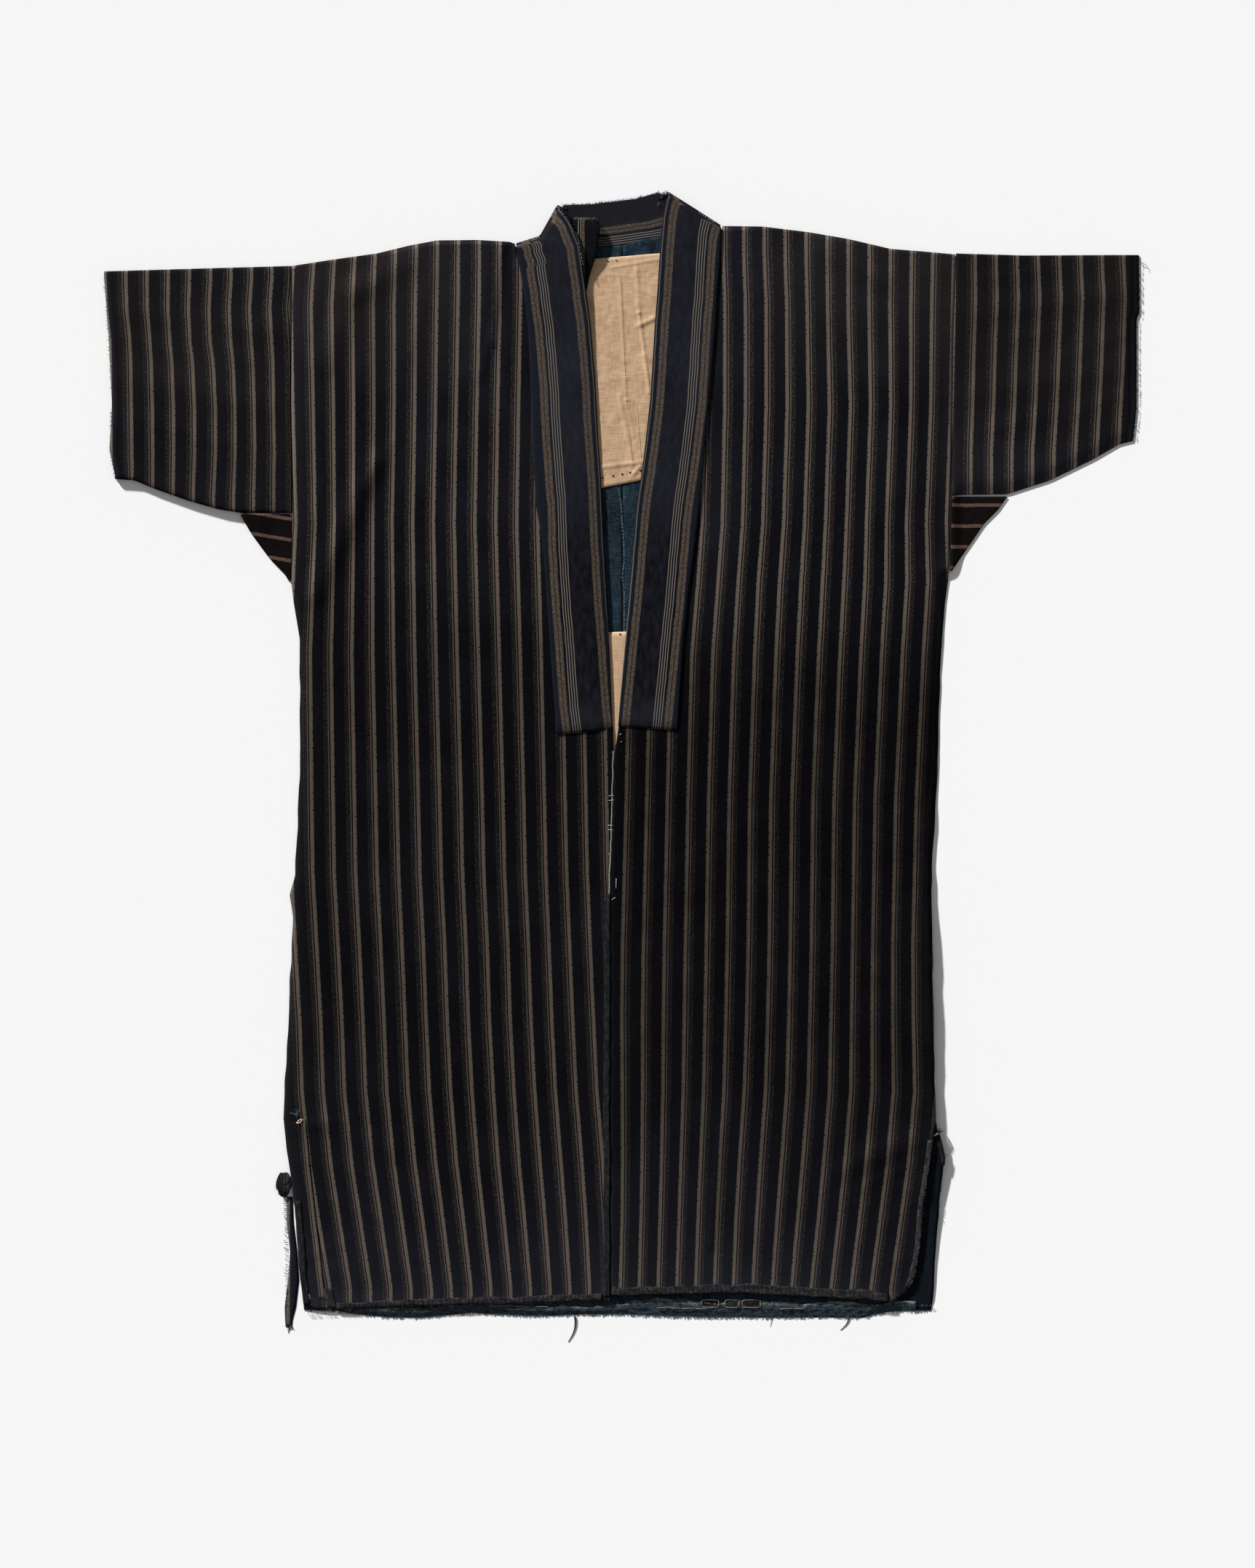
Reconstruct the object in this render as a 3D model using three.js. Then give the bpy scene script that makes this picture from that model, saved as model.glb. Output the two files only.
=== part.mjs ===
// A striped cotton work coat laid flat on its back, fronts up.
// Millimetres. +X is to the right as seen from above, +Y towards the collar, +Z up; the backs lie on z = 0.
// While it is worked out, x = 0 is the centre back seam and y = 0 is the lowest point of the back hem.
import * as THREE from 'three';

// Cloth and seams
const cloth = 1.2;
const liningCloth = 1.0;
const bandThickness = 2.2;
const seamGap = 0.3;

// Heights of the middle of each layer
const backLevel = cloth / 2;
const liningLevel = cloth + seamGap + liningCloth / 2;
const patchLevel = liningLevel + liningCloth + seamGap;
const frontLevel = patchLevel + liningCloth / 2 + seamGap + cloth / 2;
const sideSeamLevel = 2.8;
const sleeveLevel = 3.2;
const flapLevel = patchLevel + liningCloth + seamGap;
const bandLift = cloth / 2 + seamGap + bandThickness / 2;
const stripLift = cloth / 2 + seamGap + liningCloth / 2;

// Where the front cloth comes down to its side seam, and where that seam ends under the arm
const seamRise = 22;
const armpitY = 740;
const armpitBlend = 70;

// Grid spacing
const panelColumns = 18;
const frontRowSpacing = 30;
const backRowSpacing = 90;
const foldSteps = 4;

// How far the curves of the shoulder and hem reach into a panel
const curveReach = 150;

// The back lining stops this far inside the fronts' side edges, and this far short of neck and hem
const liningInset = 26;
const liningShort = 1.2;
const liningSeamX = 2;

// Shoulder folds, from the sleeve seam to the neck
const shoulderLine = {
  left: [
    { x: -330, y: 1055 },
    { x: -288, y: 1061.5 },
    { x: -245, y: 1067.5 },
    { x: -212, y: 1075.5 },
    { x: -185, y: 1080.5 },
    { x: -145, y: 1081 },
    { x: -112, y: 1079 },
    { x: -107, y: 1077 },
  ],
  right: [
    { x: 101, y: 1095 },
    { x: 141, y: 1094.5 },
    { x: 186, y: 1089 },
    { x: 227, y: 1082 },
    { x: 270, y: 1072 },
    { x: 302, y: 1069.5 },
    { x: 335, y: 1066.5 },
  ],
};

const frontHem = {
  left: [
    { x: -318.5, y: 7.5 },
    { x: -286, y: 6.5 },
    { x: -207, y: 11.5 },
    { x: -95, y: 13 },
    { x: -12, y: 17 },
  ],
  right: [
    { x: -11, y: 23.5 },
    { x: 4, y: 22.5 },
    { x: 105, y: 25.5 },
    { x: 172, y: 22.5 },
    { x: 247, y: 18 },
    { x: 272, y: 15.5 },
    { x: 286, y: 25 },
  ],
};

const backHem = {
  left: [
    { x: -318.5, y: 8 },
    { x: -288, y: 6 },
    { x: -234, y: 0 },
    { x: -201, y: 0 },
    { x: -150, y: 4.5 },
    { x: -95, y: 1.5 },
    { x: -0.2, y: 3 },
  ],
  right: [
    { x: 0.2, y: 3 },
    { x: 74, y: 0 },
    { x: 244, y: 0 },
    { x: 270, y: 6 },
    { x: 311, y: 6.5 },
  ],
};

// Each row crosses a panel from its side edge to its inner edge, from the shoulder fold down to the hem.
// Beside the neck the front's inner edge lies under the collar band.
const frontRows = {
  left: [
    { sideX: -330, sideY: 1055, innerX: -107, innerY: 1077 },
    { sideX: -330, sideY: 1030, innerX: -103.5, innerY: 1062 },
    { sideX: -330.5, sideY: 993.5, innerX: -80, innerY: 1015 },
    { sideX: -331, sideY: 920, innerX: -60, innerY: 935 },
    { sideX: -330, sideY: 855, innerX: -48, innerY: 866 },
    { sideX: -329.5, sideY: 806, innerX: -40, innerY: 811 },
    { sideX: -331, sideY: 737, innerX: -31, innerY: 738 },
    { sideX: -323, sideY: 688, innerX: -25, innerY: 688 },
    { sideX: -321.5, sideY: 592, innerX: -12, innerY: 592 },
    { sideX: -323, sideY: 545, innerX: -8, innerY: 560 },
    { sideX: -325.5, sideY: 479, innerX: -10, innerY: 479 },
    { sideX: -327.5, sideY: 444, innerX: -11.5, innerY: 444 },
    { sideX: -332, sideY: 424, innerX: -12, innerY: 424 },
    { sideX: -329, sideY: 402, innerX: -11.5, innerY: 402 },
    { sideX: -335.5, sideY: 270, innerX: -12, innerY: 270 },
    { sideX: -339, sideY: 200, innerX: -12, innerY: 200 },
    { sideX: -334, sideY: 154, innerX: -12, innerY: 154 },
    { sideX: -328, sideY: 117, innerX: -12, innerY: 117 },
    { sideX: -322, sideY: 35, innerX: -12, innerY: 37 },
    { sideX: -318.5, sideY: 7.5, innerX: -12, innerY: 17 },
  ],
  right: [
    { sideX: 335, sideY: 1066.5, innerX: 101, innerY: 1095 },
    { sideX: 334, sideY: 1030, innerX: 97, innerY: 1070 },
    { sideX: 332.5, sideY: 993.5, innerX: 81, innerY: 1015 },
    { sideX: 331.5, sideY: 920, innerX: 56, innerY: 935 },
    { sideX: 331, sideY: 825, innerX: 37, innerY: 818 },
    { sideX: 328.5, sideY: 748, innerX: 26, innerY: 745 },
    { sideX: 323, sideY: 716, innerX: 21.5, innerY: 716 },
    { sideX: 320.5, sideY: 665, innerX: 13, innerY: 665 },
    { sideX: 316.5, sideY: 592, innerX: 1, innerY: 592 },
    { sideX: 317, sideY: 560, innerX: -6, innerY: 566 },
    { sideX: 313.5, sideY: 517, innerX: -8, innerY: 517 },
    { sideX: 309.5, sideY: 447, innerX: -10, innerY: 446 },
    { sideX: 311.5, sideY: 325, innerX: -10.5, innerY: 325 },
    { sideX: 315, sideY: 200, innerX: -11, innerY: 200 },
    { sideX: 311.5, sideY: 179, innerX: -11, innerY: 183 },
    { sideX: 302.5, sideY: 117, innerX: -11, innerY: 117 },
    { sideX: 298.5, sideY: 73, innerX: -11, innerY: 73 },
    { sideX: 293, sideY: 41, innerX: -11, innerY: 41 },
    { sideX: 286, sideY: 25, innerX: -11, innerY: 23.5 },
  ],
};

// The back's inner edge follows the neckline under the collar, then the centre back seam.
const backRows = {
  left: [
    { sideX: -330, sideY: 1055, innerX: -107, innerY: 1077 },
    { sideX: -330, sideY: 1040, innerX: -104, innerY: 1072 },
    { sideX: -330, sideY: 1015, innerX: -80, innerY: 1071.5 },
    { sideX: -330.5, sideY: 985, innerX: -50, innerY: 1070.5 },
    { sideX: -331, sideY: 950, innerX: -25, innerY: 1072 },
    { sideX: -331, sideY: 915, innerX: -0.2, innerY: 1073.5 },
    { sideX: -329.5, sideY: 806, innerX: -0.2, innerY: 855 },
    { sideX: -331, sideY: 737, innerX: -0.2, innerY: 752 },
    { sideX: -322, sideY: 672, innerX: -0.2, innerY: 676 },
    { sideX: -323, sideY: 531, innerX: -0.2, innerY: 531 },
    { sideX: -327.5, sideY: 438, innerX: -0.2, innerY: 438 },
    { sideX: -335.5, sideY: 270, innerX: -0.2, innerY: 270 },
    { sideX: -338, sideY: 200, innerX: -0.2, innerY: 200 },
    { sideX: -333, sideY: 154, innerX: -0.2, innerY: 154 },
    { sideX: -326, sideY: 95, innerX: -0.2, innerY: 95 },
    { sideX: -318.5, sideY: 8, innerX: -0.2, innerY: 3 },
  ],
  right: [
    { sideX: 335, sideY: 1066.5, innerX: 101, innerY: 1095 },
    { sideX: 334.3, sideY: 1050, innerX: 97, innerY: 1089.5 },
    { sideX: 333.4, sideY: 1020, innerX: 70, innerY: 1087 },
    { sideX: 332.3, sideY: 985, innerX: 37.5, innerY: 1082.5 },
    { sideX: 331.9, sideY: 950, innerX: 19, innerY: 1079 },
    { sideX: 331.5, sideY: 915, innerX: 0.2, innerY: 1073.5 },
    { sideX: 331, sideY: 825, innerX: 0.2, innerY: 855 },
    { sideX: 328.5, sideY: 748, innerX: 0.2, innerY: 752 },
    { sideX: 321, sideY: 679, innerX: 0.2, innerY: 679 },
    { sideX: 316, sideY: 531, innerX: 0.2, innerY: 531 },
    { sideX: 311, sideY: 447, innerX: 0.2, innerY: 447 },
    { sideX: 313, sideY: 270, innerX: 0.2, innerY: 270 },
    { sideX: 315, sideY: 198, innerX: 0.2, innerY: 198 },
    { sideX: 322.5, sideY: 154, innerX: 0.2, innerY: 154 },
    { sideX: 319, sideY: 117, innerX: 0.2, innerY: 117 },
    { sideX: 311, sideY: 6.5, innerX: 0.2, innerY: 3 },
  ],
};

// Sleeves are tubes: a top fold, a bottom edge, and a cuff that leans
const sleeveShape = {
  left: {
    seamX: [
      { y: 806, x: -330 },
      { y: 855, x: -330.5 },
      { y: 920, x: -331.5 },
      { y: 993.5, x: -331 },
      { y: 1055, x: -330.5 },
    ],
    cuffX: [
      { y: 841, x: -507 },
      { y: 870, x: -513.5 },
      { y: 916, x: -511 },
      { y: 980, x: -514 },
      { y: 1045, x: -519 },
    ],
    topY: [
      { x: -519, y: 1049.5 },
      { x: -469, y: 1051 },
      { x: -382, y: 1053.5 },
      { x: -330, y: 1055 },
    ],
    bottomY: [
      { x: -507, y: 841 },
      { x: -488, y: 839.5 },
      { x: -469, y: 831.5 },
      { x: -434, y: 819 },
      { x: -404, y: 810.5 },
      { x: -382, y: 807 },
      { x: -330, y: 807 },
    ],
  },
  right: {
    seamX: [
      { y: 825, x: 331.6 },
      { y: 920, x: 332.2 },
      { y: 993.5, x: 333.1 },
      { y: 1030, x: 334.6 },
      { y: 1066.5, x: 335.6 },
    ],
    cuffX: [
      { y: 879, x: 513 },
      { y: 911, x: 516.5 },
      { y: 1001, x: 516.5 },
      { y: 1008, x: 519.5 },
      { y: 1064, x: 519 },
    ],
    topY: [
      { x: 335, y: 1067.5 },
      { x: 404, y: 1065.5 },
      { x: 519, y: 1066 },
    ],
    bottomY: [
      { x: 331, y: 824.5 },
      { x: 387, y: 825.5 },
      { x: 430, y: 839.5 },
      { x: 473, y: 860.5 },
      { x: 499, y: 875.5 },
      { x: 513, y: 879 },
    ],
  },
};
const sleeveColumns = 9;
const sleeveFrontRows = 9;
const sleeveBackRows = 4;
const settleRounds = 8;

// Underarm gussets: a square folded on its diagonal, from the corner to the slanting fold
const gussetShape = {
  left: {
    corner: { x: -330.5, y: 806 },
    fold: [
      { x: -382, y: 804.5 },
      { x: -371, y: 785.5 },
      { x: -354.5, y: 763 },
      { x: -338, y: 746 },
      { x: -333.2, y: 737.5 },
    ],
    outward: { x: -0.79, y: -0.61 },
  },
  right: {
    corner: { x: 331.5, y: 823.5 },
    fold: [
      { x: 387, y: 823 },
      { x: 378, y: 810 },
      { x: 364, y: 796 },
      { x: 350, y: 775.5 },
      { x: 331.2, y: 748.5 },
    ],
    outward: { x: 0.79, y: -0.61 },
  },
};
const gussetRows = 4;
const gussetTip = 0.05;

// The collar band, station by station from its lower end to the centre back.
// The sewn edge joins the coat, the free edge is the band's fold.
// onBack stations have turned over the shoulder.
// lift is how far the free edge curls up off the cloth.
const bandStations = {
  left: [
    { sewnX: -65, sewnY: 584.5, midX: -37.5, midY: 587, freeX: -9, freeY: 590 },
    { sewnX: -71, sewnY: 665, midX: -42, midY: 667, freeX: -12, freeY: 669.5 },
    { sewnX: -76, sewnY: 738, midX: -46, midY: 741.5, freeX: -16.5, freeY: 745.5 },
    { sewnX: -80, sewnY: 783.5, midX: -49, midY: 790, freeX: -19, freeY: 796.5 },
    { sewnX: -85.5, sewnY: 812.5, midX: -53, midY: 826, freeX: -20.5, freeY: 840 },
    { sewnX: -89.5, sewnY: 879.5, midX: -56.5, midY: 882, freeX: -23.5, freeY: 884 },
    { sewnX: -91.5, sewnY: 947, midX: -59.5, midY: 944.5, freeX: -26.5, freeY: 942.5 },
    { sewnX: -93.5, sewnY: 991.5, midX: -62.5, midY: 993.5, freeX: -31, freeY: 995.5 },
    { sewnX: -98, sewnY: 1029.5, midX: -66.5, midY: 1033, freeX: -36.5, freeY: 1037.5, lift: 2 },
    { sewnX: -102, sewnY: 1052, midX: -68, midY: 1060.5, freeX: -42, freeY: 1075.5, lift: 6 },
    { sewnX: -104.5, sewnY: 1066.5, midX: -74, midY: 1075.5, freeX: -52, freeY: 1099.5, lift: 6 },
    { sewnX: -106, sewnY: 1077.5, midX: -82, midY: 1085, freeX: -64.5, freeY: 1116, lift: 2, turns: true },
    { sewnX: -101, sewnY: 1074.5, midX: -74.5, midY: 1083.5, freeX: -58, freeY: 1116, onBack: true },
    { sewnX: -80, sewnY: 1072.5, midX: -61.5, midY: 1094.5, freeX: -47, freeY: 1116.5, onBack: true },
    { sewnX: -50, sewnY: 1071.5, midX: -42, midY: 1094.5, freeX: -31, freeY: 1117, onBack: true },
    { sewnX: -25, sewnY: 1073, midX: -22, midY: 1095, freeX: -17.5, freeY: 1118.5, onBack: true },
    { sewnX: -0.2, sewnY: 1074.5, midX: -0.2, midY: 1098, freeX: -0.2, freeY: 1120.5, onBack: true },
  ],
  right: [
    { sewnX: 56, sewnY: 588.5, midX: 26, midY: 591, freeX: -3.5, freeY: 593 },
    { sewnX: 61.5, sewnY: 671.5, midX: 32.5, midY: 668.5, freeX: 2.5, freeY: 665 },
    { sewnX: 67, sewnY: 727, midX: 37.5, midY: 732, freeX: 9.5, freeY: 738 },
    { sewnX: 73.5, sewnY: 774.5, midX: 43.5, midY: 779.5, freeX: 13, freeY: 785.5 },
    { sewnX: 78, sewnY: 811, midX: 47, midY: 814.5, freeX: 16, freeY: 818.5 },
    { sewnX: 83, sewnY: 867, midX: 53, midY: 868.5, freeX: 23, freeY: 869.5 },
    { sewnX: 88, sewnY: 920, midX: 58, midY: 922, freeX: 29, freeY: 924 },
    { sewnX: 94.5, sewnY: 998, midX: 64, midY: 998, freeX: 33.5, freeY: 998 },
    { sewnX: 96, sewnY: 1030, midX: 66, midY: 1033.5, freeX: 36.5, freeY: 1037.5 },
    { sewnX: 98.5, sewnY: 1058, midX: 69, midY: 1066.5, freeX: 39, freeY: 1077.5 },
    { sewnX: 99.5, sewnY: 1077.5, midX: 71.5, midY: 1090.5, freeX: 41.5, freeY: 1104.5 },
    { sewnX: 100, sewnY: 1095.5, midX: 73.5, midY: 1112.5, freeX: 46.5, freeY: 1129.5, turns: true },
    { sewnX: 92, sewnY: 1091.5, midX: 62.5, midY: 1108, freeX: 37, freeY: 1128.5, onBack: true },
    { sewnX: 70, sewnY: 1088, midX: 46.5, midY: 1106, freeX: 28.5, freeY: 1126.5, onBack: true },
    { sewnX: 37.5, sewnY: 1083.5, midX: 24.5, midY: 1102.5, freeX: 13, freeY: 1122, onBack: true },
    { sewnX: 19, sewnY: 1080, midX: 12, midY: 1100, freeX: 6.5, freeY: 1121.5, onBack: true },
    { sewnX: 0.2, sewnY: 1074.5, midX: 0.2, midY: 1098, freeX: 0.2, freeY: 1120.5, onBack: true },
  ],
};
const bandColumns = 4;
const liningColumns = 8;
const flatColumns = { yoke: 4, lower: 2, flap: 3, strip: 2 };

// Patches and torn pieces, as rows from top to bottom between a left and a right edge
const yokePatchRows = [
  { leftX: -50, leftY: 1060, rightX: 55, rightY: 1069 },
  { leftX: -46, leftY: 950, rightX: 58, rightY: 958 },
  { leftX: -42, leftY: 828, rightX: 60, rightY: 847 },
];
const lowerPatchRows = [
  { leftX: -25, leftY: 687, rightX: 19, rightY: 688.5 },
  { leftX: -25, leftY: 620, rightX: 19, rightY: 620 },
  { leftX: -25, leftY: 555, rightX: 19, rightY: 555 },
];
const collarFlapRows = [
  { leftX: -48.5, leftY: 1104.5, leftLift: 4, rightX: -24.5, rightY: 1103, rightLift: 5 },
  { leftX: -46, leftY: 1092, leftLift: 4, rightX: -21.5, rightY: 1092, rightLift: 7 },
  { leftX: -43.5, leftY: 1070, leftLift: 3.5, rightX: -24.5, rightY: 1068, rightLift: 6 },
  { leftX: -40, leftY: 1045, leftLift: 1.2, rightX: -32, rightY: 1045, rightLift: 2 },
  { leftX: -38, leftY: 1030, leftLift: 0, rightX: -35, rightY: 1030, rightLift: 0 },
];
const tornStripRows = [
  { leftX: -336, leftY: 121, rightX: -330, rightY: 121 },
  { leftX: -336, leftY: 95, rightX: -329, rightY: 95 },
  { leftX: -332.5, leftY: 66, rightX: -325.5, rightY: 66 },
  { leftX: -334.5, leftY: 37, rightX: -323.5, rightY: 37 },
  { leftX: -338, leftY: 10, rightX: -326.5, rightY: 10 },
  { leftX: -337.5, leftY: -3, rightX: -330, rightY: -3 },
  { leftX: -337, leftY: -9.5, rightX: -330.5, rightY: -9.5 },
];
const tornKnot = { x: -338.8, y: 133.6, halfX: 7.6, halfY: 12, halfZ: 3 };
const knotLumps = { count: 3, depth: 0.1, around: 12, rings: 8 };

// Turned edges that lie on the front cloth
const hemStripWidth = 6.5;
const hemStripLeft = { fromX: -286, toX: -19, steps: 14 };
const hemStripRight = { fromX: -10, toX: 268, steps: 14 };
const frontEdge = { width: 6, topY: 420, bottomY: 20, steps: 16 };
const ventEdgeLeft = { width: 6.5, topY: 117, bottomY: 12, steps: 5 };
const ventEdgeRight = { width: 4, topY: 178, bottomY: 30, steps: 7 };

// The largest folds of the laid cloth: soft ridges and troughs from one end to the other
const folds = [
  { name: 'left armpit', fromX: -248, fromY: 856, toX: -308, toY: 725, width: 12, height: 3 },
  { name: 'left shoulder, upper', fromX: -212, fromY: 1060, toX: -270, toY: 1029, width: 14, height: 1.8 },
  { name: 'left shoulder, lower', fromX: -270, fromY: 1029, toX: -293, toY: 960, width: 14, height: 1.8 },
  { name: 'left chest', fromX: -250, fromY: 1030, toX: -266, toY: 835, width: 14, height: 1.4 },
  { name: 'left neck tuck', fromX: -128, fromY: 1040, toX: -142, toY: 924, width: 12, height: 1.6 },
  { name: 'left vent', fromX: -300, fromY: 198, toX: -234, toY: 168, width: 12, height: 1.2 },
  { name: 'right shoulder', fromX: 203, fromY: 1070, toX: 262, toY: 1042, width: 14, height: 1.8 },
  { name: 'right chest', fromX: 270, fromY: 970, toX: 276, toY: 826, width: 14, height: 1.6 },
  { name: 'right vent, upper', fromX: 290, fromY: 180, toX: 245, toY: 165, width: 11, height: 1.2 },
  { name: 'right vent, lower', fromX: 290, fromY: 172, toX: 216, toY: 146, width: 11, height: 1.2 },
  { name: 'left sleeve, upper', fromX: -492, fromY: 1010, toX: -350, toY: 990, width: 15, height: 1.6 },
  { name: 'left sleeve, lower', fromX: -495, fromY: 942, toX: -350, toY: 913, width: 15, height: 1.3 },
  { name: 'right sleeve, upper', fromX: 352, fromY: 1008, toX: 495, toY: 1026, width: 15, height: 1.5 },
  { name: 'right sleeve, lower', fromX: 352, fromY: 928, toX: 495, toY: 950, width: 15, height: 1.2 },
];

const colours = {
  stripedCotton: 0x1c1d24,
  brownGusset: 0x1f1a18,
  collarCotton: 0x1f222d,
  indigoLining: 0x2c3c4c,
  tanPatch: 0xb8936c,
  fadedHem: 0x2b2c33,
};

const coat = new THREE.Group();

function mix(a, b, t) {
  return a + (b - a) * t;
}

function clamp01(t) {
  return Math.min(1, Math.max(0, t));
}

function smooth(t) {
  const s = clamp01(t);
  return s * s * (3 - 2 * s);
}

// Straight-line reading of a column of a table against another column
function readTable(rows, keyColumn, valueColumn, key) {
  const rising = rows[rows.length - 1][keyColumn] > rows[0][keyColumn];
  const ordered = rising ? rows : [...rows].reverse();
  if (key <= ordered[0][keyColumn]) return ordered[0][valueColumn];
  for (let i = 1; i < ordered.length; i++) {
    const low = ordered[i - 1];
    const high = ordered[i];
    if (key <= high[keyColumn]) {
      const t = (key - low[keyColumn]) / (high[keyColumn] - low[keyColumn]);
      return mix(low[valueColumn], high[valueColumn], t);
    }
  }
  return ordered[ordered.length - 1][valueColumn];
}

// Rows between the given ones, so that none is further apart than the spacing
function fillRows(rows, yColumn, spacing) {
  const filled = [rows[0]];
  for (let i = 1; i < rows.length; i++) {
    const from = rows[i - 1];
    const to = rows[i];
    const steps = Math.max(1, Math.round(Math.abs(to[yColumn] - from[yColumn]) / spacing));
    for (let s = 1; s <= steps; s++) {
      const row = {};
      for (const column of Object.keys(to)) row[column] = mix(from[column], to[column], s / steps);
      filled.push(row);
    }
  }
  return filled;
}

function distanceToFold(fold, x, y) {
  const dx = fold.toX - fold.fromX;
  const dy = fold.toY - fold.fromY;
  const t = clamp01(((x - fold.fromX) * dx + (y - fold.fromY) * dy) / (dx * dx + dy * dy));
  return Math.hypot(x - fold.fromX - t * dx, y - fold.fromY - t * dy);
}

// Height of the middle of the front cloth: level over the body, lower on sleeves and at side seams,
// plus the folds, each of which adds a bell of the distance to its line
function frontHeight(x, y) {
  const rows = x < 0 ? frontRows.left : frontRows.right;
  const inward = Math.abs(readTable(rows, 'sideY', 'sideX', y)) - Math.abs(x);
  const edgeLevel = mix(sideSeamLevel, sleeveLevel, smooth((y - armpitY) / armpitBlend));
  let height = mix(edgeLevel, frontLevel, clamp01(inward / seamRise));
  for (const fold of folds) {
    const widths = distanceToFold(fold, x, y) / fold.width;
    height += fold.height * Math.exp(-(widths ** 2));
  }
  return height;
}

// A wall of cloth around a grid of middle points: both faces and the rims that join them.
// Where wraps is set, the last row joins the first and the wall is a tube.
function clothWall(grid, thickness, wraps = false) {
  const rowCount = grid.length;
  const columnCount = grid[0].length;
  const at = (r, c) => grid[wraps ? (r + rowCount) % rowCount : Math.min(rowCount - 1, Math.max(0, r))][
    Math.min(columnCount - 1, Math.max(0, c))];
  const positions = [];
  const facePoint = (side, r, c) => {
    const alongRows = new THREE.Vector3().subVectors(at(r + 1, c), at(r - 1, c));
    const alongColumns = new THREE.Vector3().subVectors(at(r, c + 1), at(r, c - 1));
    const normal = new THREE.Vector3().crossVectors(alongRows, alongColumns).normalize();
    const point = at(r, c).clone().addScaledVector(normal, side * thickness / 2);
    point.z = Math.max(0, point.z);
    return point;
  };
  const faces = [1, -1].map((side) => {
    const start = positions.length / 3;
    for (let r = 0; r < rowCount; r++) {
      for (let c = 0; c < columnCount; c++) positions.push(...facePoint(side, r, c).toArray());
    }
    return (r, c) => start + (r % rowCount) * columnCount + c;
  });
  const [over, under] = faces;
  const triangles = [];
  const quad = (a, b, c, d) => triangles.push(a, b, c, a, c, d);
  const lastRow = wraps ? rowCount : rowCount - 1;
  for (let r = 0; r < lastRow; r++) {
    for (let c = 0; c < columnCount - 1; c++) {
      quad(over(r, c), over(r + 1, c), over(r + 1, c + 1), over(r, c + 1));
      quad(under(r, c), under(r, c + 1), under(r + 1, c + 1), under(r + 1, c));
    }
    quad(over(r, 0), under(r, 0), under(r + 1, 0), over(r + 1, 0));
    const e = columnCount - 1;
    quad(over(r, e), over(r + 1, e), under(r + 1, e), under(r, e));
  }
  if (!wraps) {
    const e = rowCount - 1;
    for (let c = 0; c < columnCount - 1; c++) {
      quad(over(0, c), over(0, c + 1), under(0, c + 1), under(0, c));
      quad(over(e, c), under(e, c), under(e, c + 1), over(e, c + 1));
    }
  }
  const geometry = new THREE.BufferGeometry();
  geometry.setAttribute('position', new THREE.Float32BufferAttribute(positions, 3));
  geometry.setIndex(signedVolume(positions, triangles) < 0 ? turnedOver(triangles) : triangles);
  geometry.computeVertexNormals();
  return geometry;
}

function signedVolume(positions, triangles) {
  const corner = (i) => new THREE.Vector3(positions[3 * i], positions[3 * i + 1], positions[3 * i + 2]);
  let volume = 0;
  for (let i = 0; i < triangles.length; i += 3) {
    const b = corner(triangles[i + 1]);
    volume += corner(triangles[i]).dot(b.cross(corner(triangles[i + 2]))) / 6;
  }
  return volume;
}

function turnedOver(triangles) {
  const turned = [];
  for (let i = 0; i < triangles.length; i += 3) turned.push(triangles[i], triangles[i + 2], triangles[i + 1]);
  return turned;
}

function addPiece(name, geometry, colour, roughness = 0.9) {
  const finish = new THREE.MeshStandardMaterial({ color: colour, roughness, metalness: 0 });
  const piece = new THREE.Mesh(geometry, finish);
  piece.name = name;
  coat.add(piece);
}

// Points of a fold between a lower and an upper layer: a half circle seen from the fold's end.
// reach is how far each point stands out from the fold's centre line.
function foldArc(lowZ, highZ, steps) {
  const radius = (highZ - lowZ) / 2;
  const points = [];
  for (let i = 1; i < steps; i++) {
    const angle = mix(-Math.PI / 2, Math.PI / 2, i / steps);
    points.push({ reach: radius * Math.cos(angle), z: (lowZ + highZ) / 2 + radius * Math.sin(angle) });
  }
  return points;
}

// How far a table's curve departs from the straight line between its ends
function curveOffset(rows, x) {
  const first = rows[0];
  const last = rows[rows.length - 1];
  const straight = mix(first.y, last.y, clamp01((x - first.x) / (last.x - first.x)));
  return readTable(rows, 'x', 'y', x) - straight;
}

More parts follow.
